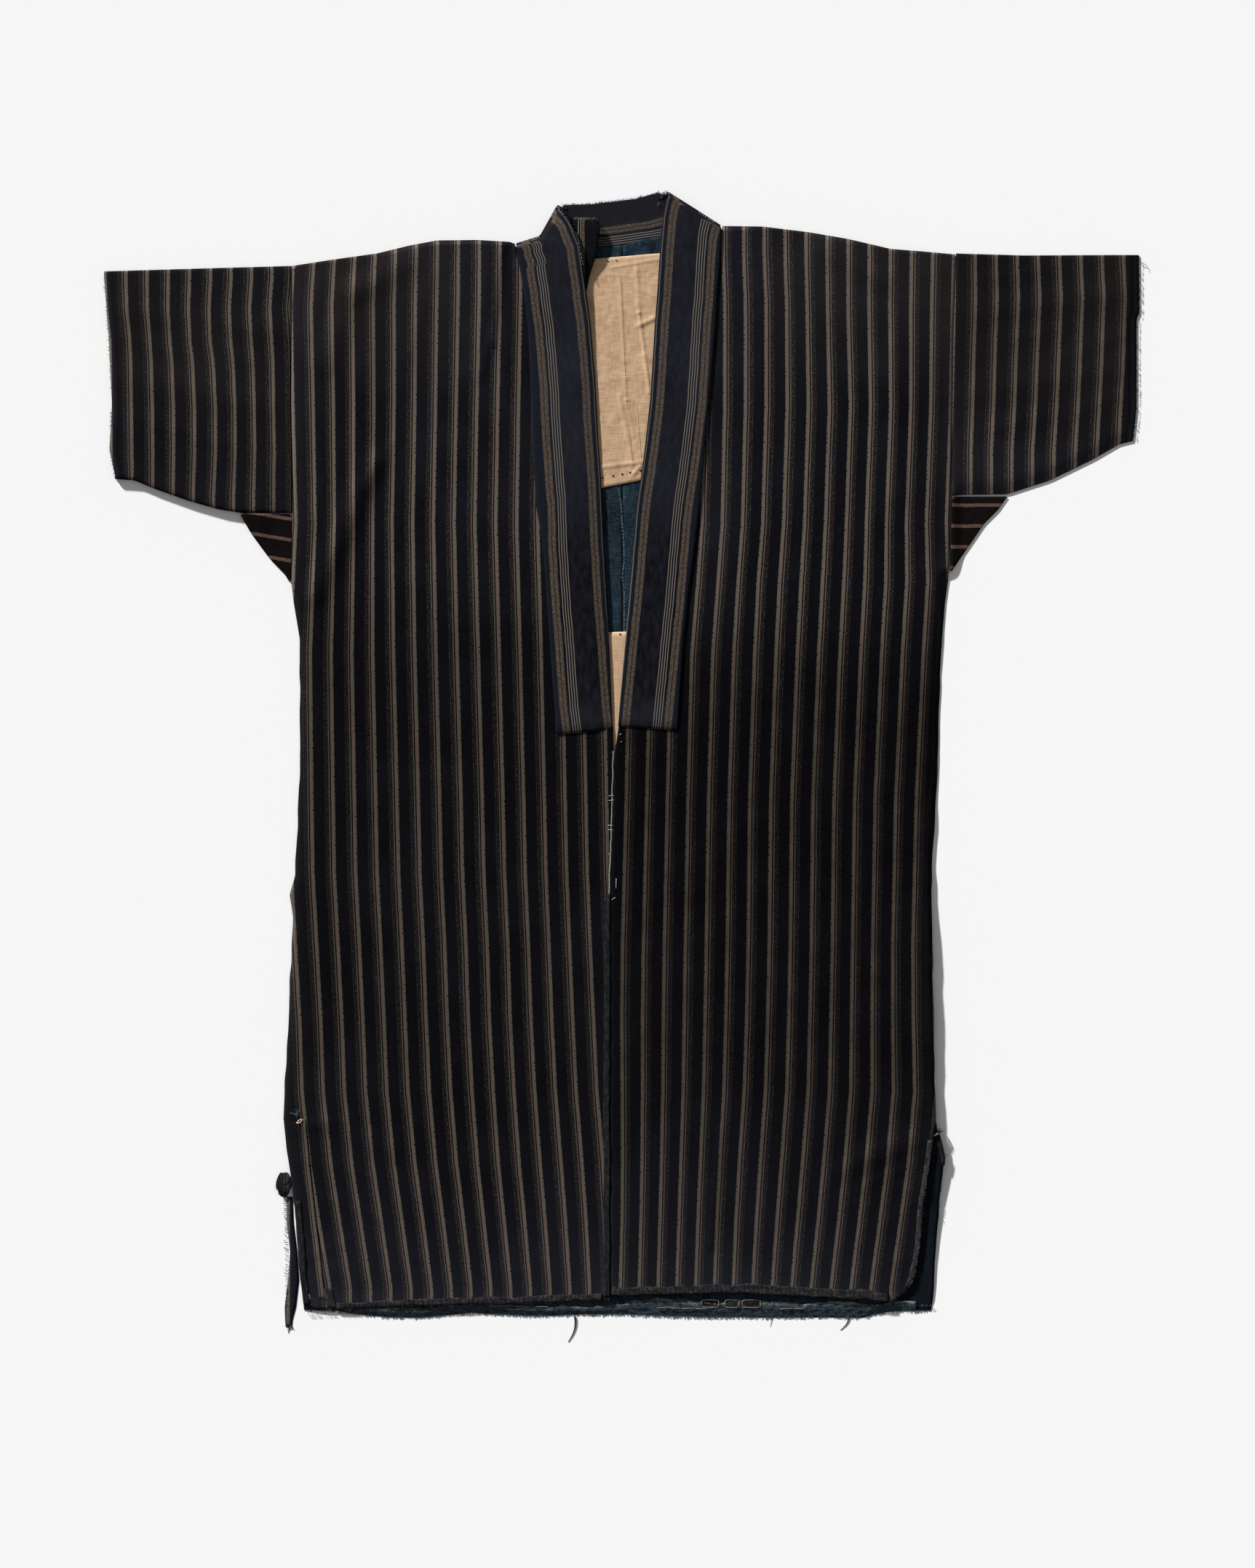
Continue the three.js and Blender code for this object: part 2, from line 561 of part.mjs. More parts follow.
// One length of cloth from the back hem over the shoulder fold to the front hem
function bodyPanel(side) {
  const shoulder = shoulderLine[side];
  const layerPoint = (row, top, bottom, hem, u) => {
    const x = mix(row.sideX, row.innerX, u);
    const y = mix(row.sideY, row.innerY, u);
    const belowShoulder = mix(top.sideY, top.innerY, u) - y;
    const aboveHem = y - mix(bottom.sideY, bottom.innerY, u);
    const shoulderShare = smooth(1 - belowShoulder / curveReach);
    const hemShare = smooth(1 - aboveHem / curveReach);
    return { x, y: y + curveOffset(shoulder, x) * shoulderShare + curveOffset(hem, x) * hemShare };
  };
  const layer = (rows, hem, spacing) => {
    const filled = fillRows(rows, 'sideY', spacing);
    const bottom = rows[rows.length - 1];
    return filled.map((row) => {
      const line = [];
      for (let c = 0; c <= panelColumns; c++) {
        line.push(layerPoint(row, rows[0], bottom, hem, c / panelColumns));
      }
      return line;
    });
  };
  const front = layer(frontRows[side], frontHem[side], frontRowSpacing);
  const back = layer(backRows[side], backHem[side], backRowSpacing);
  const grid = [];
  const onBack = (p) => new THREE.Vector3(p.x, p.y, backLevel);
  const onFront = (p) => new THREE.Vector3(p.x, p.y, frontHeight(p.x, p.y));
  for (const line of back.slice(1).reverse()) grid.push(line.map(onBack));
  const foldLine = front[0].map((p) => {
    const z = frontHeight(p.x, p.y);
    return { x: p.x, z, centreY: p.y - cloth / 2 - (z - backLevel) / 2 };
  });
  grid.push(foldLine.map((p) => new THREE.Vector3(p.x, p.centreY, backLevel)));
  for (let i = 0; i < foldSteps - 1; i++) {
    grid.push(foldLine.map((p) => {
      const step = foldArc(backLevel, p.z, foldSteps)[i];
      return new THREE.Vector3(p.x, p.centreY + step.reach, step.z);
    }));
  }
  grid.push(foldLine.map((p) => new THREE.Vector3(p.x, p.centreY, p.z)));
  for (const line of front.slice(1)) grid.push(line.map(onFront));
  return clothWall(grid, cloth);
}

// A sleeve tube: front layer from the top fold down, the bottom fold, the back layer and the top fold again.
// A point's x and y depend on each other, so they are settled in a few rounds.
function sleeve(side) {
  const shape = sleeveShape[side];
  const place = (w, t) => {
    let x = 0;
    let y = mix(shape.topY[0].y, shape.bottomY[0].y, t);
    let inset = 0;
    for (let i = 0; i < settleRounds; i++) {
      x = mix(readTable(shape.seamX, 'y', 'x', y), readTable(shape.cuffX, 'y', 'x', y), w);
      inset = cloth / 2 + (frontHeight(x, y) - backLevel) / 2;
      y = mix(readTable(shape.topY, 'x', 'y', x) - inset, readTable(shape.bottomY, 'x', 'y', x) + inset, t);
    }
    return { x, y, z: frontHeight(x, y) };
  };
  const loop = [];
  const flatRow = (t, height) => ({ t, height, reach: () => 0 });
  for (let i = 0; i <= sleeveFrontRows; i++) loop.push(flatRow(i / sleeveFrontRows, (p) => p.z));
  const arcRow = (t, sign, i) => ({
    t,
    height: (p) => foldArc(backLevel, p.z, foldSteps)[i].z,
    reach: (p) => sign * foldArc(backLevel, p.z, foldSteps)[i].reach,
  });
  for (let i = foldSteps - 2; i >= 0; i--) loop.push(arcRow(1, -1, i));
  for (let i = sleeveBackRows; i >= 0; i--) loop.push(flatRow(i / sleeveBackRows, () => backLevel));
  for (let i = 0; i < foldSteps - 1; i++) loop.push(arcRow(0, 1, i));
  const grid = loop.map((step) => {
    const line = [];
    for (let c = 0; c <= sleeveColumns; c++) {
      const p = place(c / sleeveColumns, step.t);
      line.push(new THREE.Vector3(p.x, p.y + step.reach(p), step.height(p)));
    }
    return line;
  });
  return clothWall(grid, cloth, true);
}

// An underarm gusset, folded on its slanting edge
function gusset(side) {
  const { corner, fold, outward } = gussetShape[side];
  const spot = (s, f) => ({ x: mix(corner.x, f.x, s), y: mix(corner.y, f.y, s) });
  const shares = [];
  for (let i = 0; i <= gussetRows; i++) shares.push(mix(gussetTip, 1, i / gussetRows));
  const innerFold = fold.map((f) => {
    const z = frontHeight(f.x, f.y);
    const inset = cloth / 2 + (z - backLevel) / 2;
    return { x: f.x - outward.x * inset, y: f.y - outward.y * inset, z };
  });
  const grid = shares.map((s) => innerFold.map((f) => {
    const p = spot(s, f);
    return new THREE.Vector3(p.x, p.y, frontHeight(p.x, p.y));
  }));
  for (let i = foldSteps - 2; i >= 0; i--) {
    grid.push(innerFold.map((f) => {
      const step = foldArc(backLevel, f.z, foldSteps)[i];
      return new THREE.Vector3(f.x + outward.x * step.reach, f.y + outward.y * step.reach, step.z);
    }));
  }
  for (const s of [...shares].reverse()) {
    grid.push(innerFold.map((f) => {
      const p = spot(s, f);
      return new THREE.Vector3(p.x, p.y, backLevel);
    }));
  }
  return clothWall(grid, cloth);
}

// Half of the collar band: up the front on the cloth, over the shoulder,
// and along the floor to the centre back
function collarBand(side) {
  const across = (s, u) => {
    const outer = (1 - u) * (1 - 2 * u);
    const middle = 4 * u * (1 - u);
    const inner = u * (2 * u - 1);
    return {
      x: s.sewnX * outer + s.midX * middle + s.freeX * inner,
      y: s.sewnY * outer + s.midY * middle + s.freeY * inner,
    };
  };
  const curl = (s, u) => (s.lift || 0) * u * u;
  const floorZ = bandThickness / 2;
  const sign = side === 'left' ? 1 : -1;
  const columns = [];
  for (let c = 0; c <= bandColumns; c++) columns.push(c / bandColumns);
  const grid = [];
  for (const station of bandStations[side]) {
    if (!station.turns) {
      grid.push(columns.map((u) => {
        const p = across(station, u);
        const z = station.onBack ? floorZ : frontHeight(p.x, p.y) + bandLift + curl(station, u);
        return new THREE.Vector3(p.x, p.y, z);
      }));
      continue;
    }
    const turn = columns.map((u) => {
      const p = across(station, u);
      const before = across(station, Math.max(0, u - 0.5 / bandColumns));
      const after = across(station, Math.min(1, u + 0.5 / bandColumns));
      const length = Math.hypot(after.x - before.x, after.y - before.y);
      const out = { x: -sign * (after.y - before.y) / length, y: sign * (after.x - before.x) / length };
      const z = frontHeight(p.x, p.y) + bandLift + curl(station, u);
      const inset = bandThickness / 2 + (z - floorZ) / 2;
      return { x: p.x - out.x * inset, y: p.y - out.y * inset, z, out };
    });
    grid.push(turn.map((p) => new THREE.Vector3(p.x, p.y, p.z)));
    for (let i = foldSteps - 2; i >= 0; i--) {
      grid.push(turn.map((p) => {
        const step = foldArc(floorZ, p.z, foldSteps)[i];
        return new THREE.Vector3(p.x + p.out.x * step.reach, p.y + p.out.y * step.reach, step.z);
      }));
    }
    grid.push(turn.map((p) => new THREE.Vector3(p.x, p.y, floorZ)));
  }
  return clothWall(grid, bandThickness);
}

// A piece between a left and a right edge, at one level where its rows give no lift
function flatPiece(rows, level, thickness, columns) {
  const grid = rows.map((row) => {
    const line = [];
    for (let c = 0; c <= columns; c++) {
      const u = c / columns;
      const z = level + mix(row.leftLift || 0, row.rightLift || 0, u);
      line.push(new THREE.Vector3(mix(row.leftX, row.rightX, u), mix(row.leftY, row.rightY, u), z));
    }
    return line;
  });
  return clothWall(grid, thickness);
}

// Half of the back lining, inside the front's side edge so that it stays covered at the vents
function backLining(side) {
  const sign = side === 'left' ? -1 : 1;
  const rows = fillRows(backRows[side].slice(1), 'sideY', backRowSpacing);
  const seamX = liningSeamX + sign * seamGap / 2;
  return flatPiece(rows.map((row, i) => ({
    leftX: readTable(frontRows[side], 'sideY', 'sideX', row.sideY) - sign * liningInset,
    leftY: row.sideY + (i === rows.length - 1 ? liningShort : 0),
    rightX: Math.abs(row.innerX) < 1 ? seamX : row.innerX,
    rightY: row.innerY + (i === rows.length - 1 ? liningShort : -liningShort),
  })), liningLevel, liningCloth, liningColumns);
}

// A turned edge on the front cloth: place(t, across) gives its points along and across
function frontStrip(place, steps) {
  const grid = [];
  for (let i = 0; i <= steps; i++) {
    grid.push([0, 0.5, 1].map((across) => {
      const p = place(i / steps, across);
      return new THREE.Vector3(p.x, p.y, frontHeight(p.x, p.y) + stripLift);
    }));
  }
  return clothWall(grid, liningCloth);
}

function hemStrip(side, strip) {
  return frontStrip((t, across) => {
    const x = mix(strip.fromX, strip.toX, t);
    return { x, y: readTable(frontHem[side], 'x', 'y', x) + across * hemStripWidth };
  }, strip.steps);
}

function edgeStrip(side, edge, column, sign) {
  return frontStrip((t, across) => {
    const y = mix(edge.topY, edge.bottomY, t);
    const edgeX = readTable(frontRows[side], column + 'Y', column + 'X', y);
    return { x: edgeX + sign * across * edge.width, y };
  }, edge.steps);
}

// A lump of knotted rag: a flattened ball with a few bulges
function knot() {
  const geometry = new THREE.SphereGeometry(1, knotLumps.around, knotLumps.rings);
  const position = geometry.attributes.position;
  for (let i = 0; i < position.count; i++) {
    const x = position.getX(i);
    const y = position.getY(i);
    const lump = 1 - Math.cos(knotLumps.count * Math.atan2(y, x));
    const swell = 1 - knotLumps.depth * lump * Math.hypot(x, y);
    position.setXYZ(
      i,
      tornKnot.x + x * swell * tornKnot.halfX,
      tornKnot.y + y * swell * tornKnot.halfY,
      tornKnot.halfZ * (1 + position.getZ(i)),
    );
  }
  return geometry;
}

for (const side of ['left', 'right']) {
  addPiece(`body_${side}`, bodyPanel(side), colours.stripedCotton);
  addPiece(`sleeve_${side}`, sleeve(side), colours.stripedCotton);
  addPiece(`gusset_${side}`, gusset(side), colours.brownGusset);
  addPiece(`collar_${side}`, collarBand(side), colours.collarCotton, 0.85);
  addPiece(`lining_${side}`, backLining(side), colours.indigoLining);
}
const yokePatch = flatPiece(yokePatchRows, patchLevel, liningCloth, flatColumns.yoke);
const lowerPatch = flatPiece(lowerPatchRows, patchLevel, liningCloth, flatColumns.lower);
const collarFlap = flatPiece(collarFlapRows, flapLevel, liningCloth, flatColumns.flap);
const tornStrip = flatPiece(tornStripRows, backLevel, cloth, flatColumns.strip);
addPiece('yoke_patch', yokePatch, colours.tanPatch);
addPiece('lower_patch', lowerPatch, colours.tanPatch);
addPiece('collar_flap', collarFlap, colours.collarCotton);
addPiece('hem_front_left', hemStrip('left', hemStripLeft), colours.fadedHem);
addPiece('hem_front_right', hemStrip('right', hemStripRight), colours.fadedHem);
addPiece('front_edge_left', edgeStrip('left', frontEdge, 'inner', -1), colours.fadedHem);
addPiece('vent_edge_left', edgeStrip('left', ventEdgeLeft, 'side', 1), colours.fadedHem);
addPiece('vent_edge_right', edgeStrip('right', ventEdgeRight, 'side', -1), colours.fadedHem);
addPiece('torn_strip', tornStrip, colours.stripedCotton);
addPiece('torn_knot', knot(), colours.stripedCotton);

// The origin goes to the middle of the coat, on the surface that it lies on
const extent = new THREE.Box3().setFromObject(coat);
const centre = extent.getCenter(new THREE.Vector3());
coat.position.set(-centre.x, -centre.y, -extent.min.z);

export default coat;
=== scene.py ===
# The look of a striped cotton work coat that lies flat on its back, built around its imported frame.
# Sizes are in millimetres, x = 0 is the centre back seam and y = 0 the lowest back hem. makeMesh shifts
# them to the frame and makes them metres.
import bpy
import numpy as np
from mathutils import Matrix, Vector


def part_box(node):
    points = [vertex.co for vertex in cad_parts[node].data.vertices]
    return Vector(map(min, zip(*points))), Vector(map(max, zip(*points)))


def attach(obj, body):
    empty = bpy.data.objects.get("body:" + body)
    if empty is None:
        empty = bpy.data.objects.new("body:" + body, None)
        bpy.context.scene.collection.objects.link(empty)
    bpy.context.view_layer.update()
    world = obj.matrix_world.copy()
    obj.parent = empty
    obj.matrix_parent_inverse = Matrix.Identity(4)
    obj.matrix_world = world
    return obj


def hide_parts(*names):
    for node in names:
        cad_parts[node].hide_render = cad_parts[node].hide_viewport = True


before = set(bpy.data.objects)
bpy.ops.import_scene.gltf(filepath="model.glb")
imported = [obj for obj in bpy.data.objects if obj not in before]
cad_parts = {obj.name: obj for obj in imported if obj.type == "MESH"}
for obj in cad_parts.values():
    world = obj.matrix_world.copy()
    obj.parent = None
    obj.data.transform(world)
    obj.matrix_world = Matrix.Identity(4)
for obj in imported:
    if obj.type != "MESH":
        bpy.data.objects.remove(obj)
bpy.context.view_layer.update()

# The torn strip's low left corner ties these sizes to the frame
tornCorner = (-338.0, -9.5)
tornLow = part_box("torn_strip")[0]
shiftX = tornLow.x * 1000 - tornCorner[0]
shiftY = tornLow.y * 1000 - tornCorner[1]

cloth = 1.2
levels = {"back": 0.6, "lining": 2.0, "patch": 3.3, "flap": 4.6, "front": 4.7, "sideSeam": 2.8, "sleeve": 3.2}
thickness = {"cloth": cloth, "lining": 1.0, "band": 2.2}
bandLift = 2.0
stripLift = 1.4
seamRise = 22.0
armpitY, armpitBlend = 740.0, 70.0
stripeRepeat = 20.9


def table(names, rows):
    # The columns of the rows, each under its name
    return dict(zip(names.split(), np.array(rows, float).T))


def mix(a, b, t):
    # From a at nought to b at one
    return a + (b - a) * t


def smooth(t):
    # From nought to one in a soft step
    s = np.clip(t, 0, 1)
    return s * s * (3 - 2 * s)


def readTable(rows, key, value, at):
    # One column of a table read at places of another, straight between its rows
    order = np.argsort(rows[key])
    return np.interp(at, rows[key][order], rows[value][order])


latticeCells, latticeShift = 128, 500


def softNoise(x, y, size, seed):
    # Random heights from -1 to 1 on a square lattice, joined by smooth steps
    lattice = np.random.default_rng(seed).uniform(-1, 1, (latticeCells, latticeCells))
    gx, gy = np.asarray(x) / size + latticeShift, np.asarray(y) / size + latticeShift
    ix, iy = np.floor(gx).astype(int), np.floor(gy).astype(int)
    sx, sy = smooth(gx - ix), smooth(gy - iy)
    corner = lambda i, j: lattice[i % latticeCells, j % latticeCells]
    low = mix(corner(ix, iy), corner(ix + 1, iy), sx)
    high = mix(corner(ix, iy + 1), corner(ix + 1, iy + 1), sx)
    return mix(low, high, sy)


# Outline of the cloth: the rows of the pattern pieces, with the opening a little closer
shoulder = {
    "left": table("x y", [(-330, 1055), (-288, 1061.5), (-245, 1067.5), (-212, 1075.5), (-185, 1080.5),
                          (-145, 1081), (-112, 1079), (-107, 1077)]),
    "right": table("x y", [(101, 1095), (141, 1094.5), (186, 1089), (227, 1082), (270, 1072), (302, 1069.5),
                           (335, 1066.5)]),
}
frontHem = {
    "left": table("x y", [(-318.5, 7.5), (-286, 6.5), (-207, 11.5), (-95, 13), (-12, 17)]),
    "right": table("x y", [
        (-11, 23.5), (4, 22.5), (105, 25.5), (172, 22.5), (247, 18), (272, 15.5), (286, 25)]),
}
backHem = {
    "left": table("x y", [(-318.5, 8), (-288, 6), (-234, 0), (-201, 0), (-150, 4.5), (-95, 1.5), (-0.2, 3)]),
    "right": table("x y", [(0.2, 3), (74, 0), (244, 0), (270, 6), (311, 6.5)]),
}
frontRows = {
    "left": table("sideX sideY innerX innerY", [
        (-330, 1055, -107, 1077), (-330, 1030, -103.5, 1062), (-330.5, 993.5, -80, 1015),
        (-331, 920, -60, 935), (-330, 855, -48, 866), (-329.5, 806, -40, 811), (-331, 737, -31, 738),
        (-323, 688, -25, 688), (-321.5, 592, -8.5, 592), (-323, 545, -8, 560), (-325.5, 479, -10, 479),
        (-327.5, 444, -11.5, 444), (-332, 424, -12, 424), (-329, 402, -11.5, 402), (-335.5, 270, -12, 270),
        (-339, 200, -12, 200), (-334, 154, -12, 154), (-328, 117, -12, 117), (-322, 35, -12, 37),
        (-318.5, 7.5, -12, 17)]),
    "right": table("sideX sideY innerX innerY", [
        (335, 1066.5, 101, 1095), (334, 1030, 97, 1070), (332.5, 993.5, 81, 1015), (331.5, 920, 56, 935),
        (331, 825, 37, 818), (328.5, 748, 26, 745), (323, 716, 21.5, 716), (320.5, 665, 13, 665),
        (316.5, 592, -3, 592), (317, 560, -6.8, 566), (313.5, 517, -8, 517), (309.5, 447, -10, 446),
        (311.5, 325, -10.5, 325), (315, 200, -11, 200), (311.5, 179, -11, 183), (302.5, 117, -11, 117),
        (298.5, 73, -11, 73), (293, 41, -11, 41), (286, 25, -11, 23.5)]),
}
backRows = {
    "left": table("sideX sideY innerX innerY", [
        (-330, 1055, -107, 1077), (-330, 1040, -104, 1072), (-330, 1015, -80, 1071.5),
        (-330.5, 985, -50, 1070.5), (-331, 950, -25, 1072), (-331, 915, -0.2, 1073.5),
        (-329.5, 806, -0.2, 855), (-331, 737, -0.2, 752), (-322, 672, -0.2, 676), (-323, 531, -0.2, 531),
        (-327.5, 438, -0.2, 438), (-335.5, 270, -0.2, 270), (-338, 200, -0.2, 200), (-333, 154, -0.2, 154),
        (-326, 95, -0.2, 95), (-318.5, 8, -0.2, 3)]),
    "right": table("sideX sideY innerX innerY", [
        (335, 1066.5, 101, 1095), (334.3, 1050, 97, 1089.5), (333.4, 1020, 70, 1087),
        (332.3, 985, 37.5, 1082.5), (331.9, 950, 19, 1079), (331.5, 915, 0.2, 1073.5), (331, 825, 0.2, 855),
        (328.5, 748, 0.2, 752), (321, 679, 0.2, 679), (316, 531, 0.2, 531), (311, 447, 0.2, 447),
        (313, 270, 0.2, 270), (315, 198, 0.2, 198), (322.5, 154, 0.2, 154), (319, 117, 0.2, 117),
        (311, 6.5, 0.2, 3)]),
}

# Where the wide tan stripes 0, 4, 8 and 12 lie at some heights, counted from the side seam
bodyStripes = {
    "left": table("y s0 s4 s8 s12", [
        (1066, -308, -226.5, -142.5, -59.5), (1015, -311, -228, -142.5, -60),
        (913, -309, -228, -145, -61.5), (796, -307, -230, -147, -63), (665, -312, -228.5, -143.5, -59.5),
        (519, -310.5, -225, -139.5, -56.5), (446, -309.5, -223.5, -138, -55),
        (373, -305.5, -220, -134.5, -52), (300, -301.5, -217, -132.5, -49),
        (227, -299, -214, -128.5, -45.5), (154, -291.5, -207, -123.5, -39.5),
        (96, -282.5, -199, -117.5, -35.5), (30, -272, -190.5, -111, -32)]),
    "right": table("y s0 s4 s8 s12", [
        (1066, 312, 227, 143, 61), (1015, 311, 227, 145, 62), (913, 310, 229.5, 145, 62),
        (796, 305.5, 225.5, 141.5, 60.5), (738, 307, 223, 137, 56.5), (665, 302.5, 219, 133.5, 49.5),
        (519, 295.5, 213, 128.5, 46), (373, 292, 211.5, 127, 43), (300, 292.5, 210, 125.5, 42),
        (227, 294, 208.5, 123, 41.5), (154, 287.5, 202.5, 118, 40), (96, 279.5, 197, 114.5, 38.5),
        (30, 270, 190, 112, 36.5)]),
}
sleeveStripes = {
    "left": table("y s0 s4 s8", [
        (1041, -497, -412, -330), (1012, -496, -413.5, -332.5), (979, -493, -412.5, -330),
        (957, -492, -409.5, -329.5), (913, -491.5, -407, -329.5), (869, -491, -407, -328.5),
        (826, -490, -409, -328.5)]),
    "right": table("y s0 s4 s8", [
        (1058, 333.5, 418, 503.5), (1023, 333.5, 419.5, 505), (957, 332, 416.5, 503),
        (913, 331, 415, 500.5), (869, 330, 412, 498.5), (847, 330, 412, 498)]),
}

sleeveShape = {
    "left": {
        "seamX": table("y x", [(806, -330), (855, -330.5), (920, -331.5), (993.5, -331), (1055, -330.5)]),
        "cuffX": table("y x", [(841, -507), (870, -513.5), (916, -511), (980, -514), (1045, -519)]),
        "topY": table("x y", [(-519, 1049.5), (-469, 1051), (-382, 1053.5), (-330, 1055)]),
        "bottomY": table("x y", [(-507, 841), (-488, 839.5), (-469, 831.5), (-434, 819), (-404, 810.5),
                                 (-382, 807), (-330, 807)]),
    },
    "right": {
        "seamX": table("y x", [(825, 331.6), (920, 332.2), (993.5, 333.1), (1030, 334.6), (1066.5, 335.6)]),
        "cuffX": table("y x", [(879, 513), (911, 516.5), (1001, 516.5), (1008, 519.5), (1064, 519)]),
        "topY": table("x y", [(335, 1067.5), (404, 1065.5), (519, 1066)]),
        "bottomY": table("x y", [
            (331, 824.5), (387, 825.5), (430, 839.5), (473, 860.5), (499, 875.5), (513, 879)]),
    },
}
gussetShape = {
    "left": {"corner": (-330.5, 806), "outward": (-0.79, -0.61), "stripe": (-352, 783.3), "slope": 0.167,
             "fold": table("x y", [
                 (-382, 804.5), (-371, 785.5), (-354.5, 763), (-338, 746), (-333.2, 737.5)])},
    "right": {"corner": (331.5, 823.5), "outward": (0.79, -0.61), "stripe": (337, 794), "slope": 0.0,
              "fold": table("x y", [(387, 823), (378, 810), (364, 796), (350, 775.5), (331.2, 748.5)])},
}
bandColumns = "sewnX sewnY midX midY freeX freeY lift"
bandFront = {
    "left": table(bandColumns, [
        (-65, 584.5, -37.5, 587, -9, 590, 0), (-71, 665, -42, 667, -12, 669.5, 0),
        (-76, 738, -46, 741.5, -16.5, 745.5, 0), (-80, 783.5, -49, 790, -19, 796.5, 0),
        (-85.5, 812.5, -53, 826, -20.5, 840, 0), (-89.5, 879.5, -56.5, 882, -23.5, 884, 0),
        (-91.5, 947, -59.5, 944.5, -26.5, 942.5, 0), (-93.5, 991.5, -62.5, 993.5, -31, 995.5, 0),
        (-98, 1029.5, -66.5, 1033, -36.5, 1037.5, 2), (-102, 1052, -68, 1060.5, -42, 1075.5, 6),
        (-104.5, 1066.5, -74, 1075.5, -52, 1099.5, 6), (-106, 1077.5, -82, 1085, -64.5, 1116, 2)]),
    "right": table(bandColumns, [
        (56, 588.5, 26, 591, -3.5, 593, 0), (61.5, 671.5, 32.5, 668.5, 2.5, 665, 0),
        (67, 727, 37.5, 732, 9.5, 738, 0), (73.5, 774.5, 43.5, 779.5, 13, 785.5, 0),
        (78, 811, 47, 814.5, 16, 818.5, 0), (83, 867, 53, 868.5, 23, 869.5, 0),
        (88, 920, 58, 922, 29, 924, 0), (94.5, 998, 64, 998, 33.5, 998, 0),
        (96, 1030, 66, 1033.5, 36.5, 1037.5, 0), (98.5, 1058, 69, 1066.5, 39, 1077.5, 0),
        (99.5, 1077.5, 71.5, 1090.5, 41.5, 1104.5, 0), (100, 1095.5, 73.5, 1112.5, 46.5, 1129.5, 0)]),
}
bandBack = {
    "left": table(bandColumns, [
        (-101, 1074.5, -74.5, 1083.5, -58, 1116, 0), (-80, 1072.5, -61.5, 1094.5, -47, 1116.5, 0),
        (-50, 1071.5, -42, 1094.5, -31, 1117, 0), (-25, 1073, -22, 1095, -17.5, 1118.5, 0),
        (0, 1074.5, 0, 1098, 0, 1120.5, 0)]),
    "right": table(bandColumns, [
        (92, 1091.5, 62.5, 1108, 37, 1128.5, 0), (70, 1088, 46.5, 1106, 28.5, 1126.5, 0),
        (37.5, 1083.5, 24.5, 1102.5, 13, 1122, 0), (19, 1080, 12, 1100, 6.5, 1121.5, 0),
        (0, 1074.5, 0, 1098, 0, 1120.5, 0)]),
}
patchColumns = "leftX leftY rightX rightY"
yokePatch = table(patchColumns, [(-50, 1060, 55, 1069), (-46, 950, 58, 958), (-42, 828, 60, 847)])
lowerPatch = table(patchColumns, [(-25, 687, 19, 688.5), (-25, 620, 19, 620), (-25, 555, 19, 555)])
collarFlap = table(patchColumns + " leftLift rightLift", [
    (-48, 1102, -24.5, 1101.5, 4, 4.6), (-46, 1092, -21.5, 1092, 4, 6.2),
    (-43.5, 1070, -24.5, 1068, 3.5, 5.4), (-40, 1045, -32, 1045, 1.2, 2), (-38, 1030, -35, 1030, 0, 0)])
tornStrip = table(patchColumns, [
    (-336, 121, -330, 121), (-336, 95, -329, 95), (-332.5, 66, -325.5, 66), (-334.5, 37, -323.5, 37),
    (-338, 10, -326.5, 10), (-337.5, -3, -330, -3), (-337, -9.5, -330.5, -9.5)])

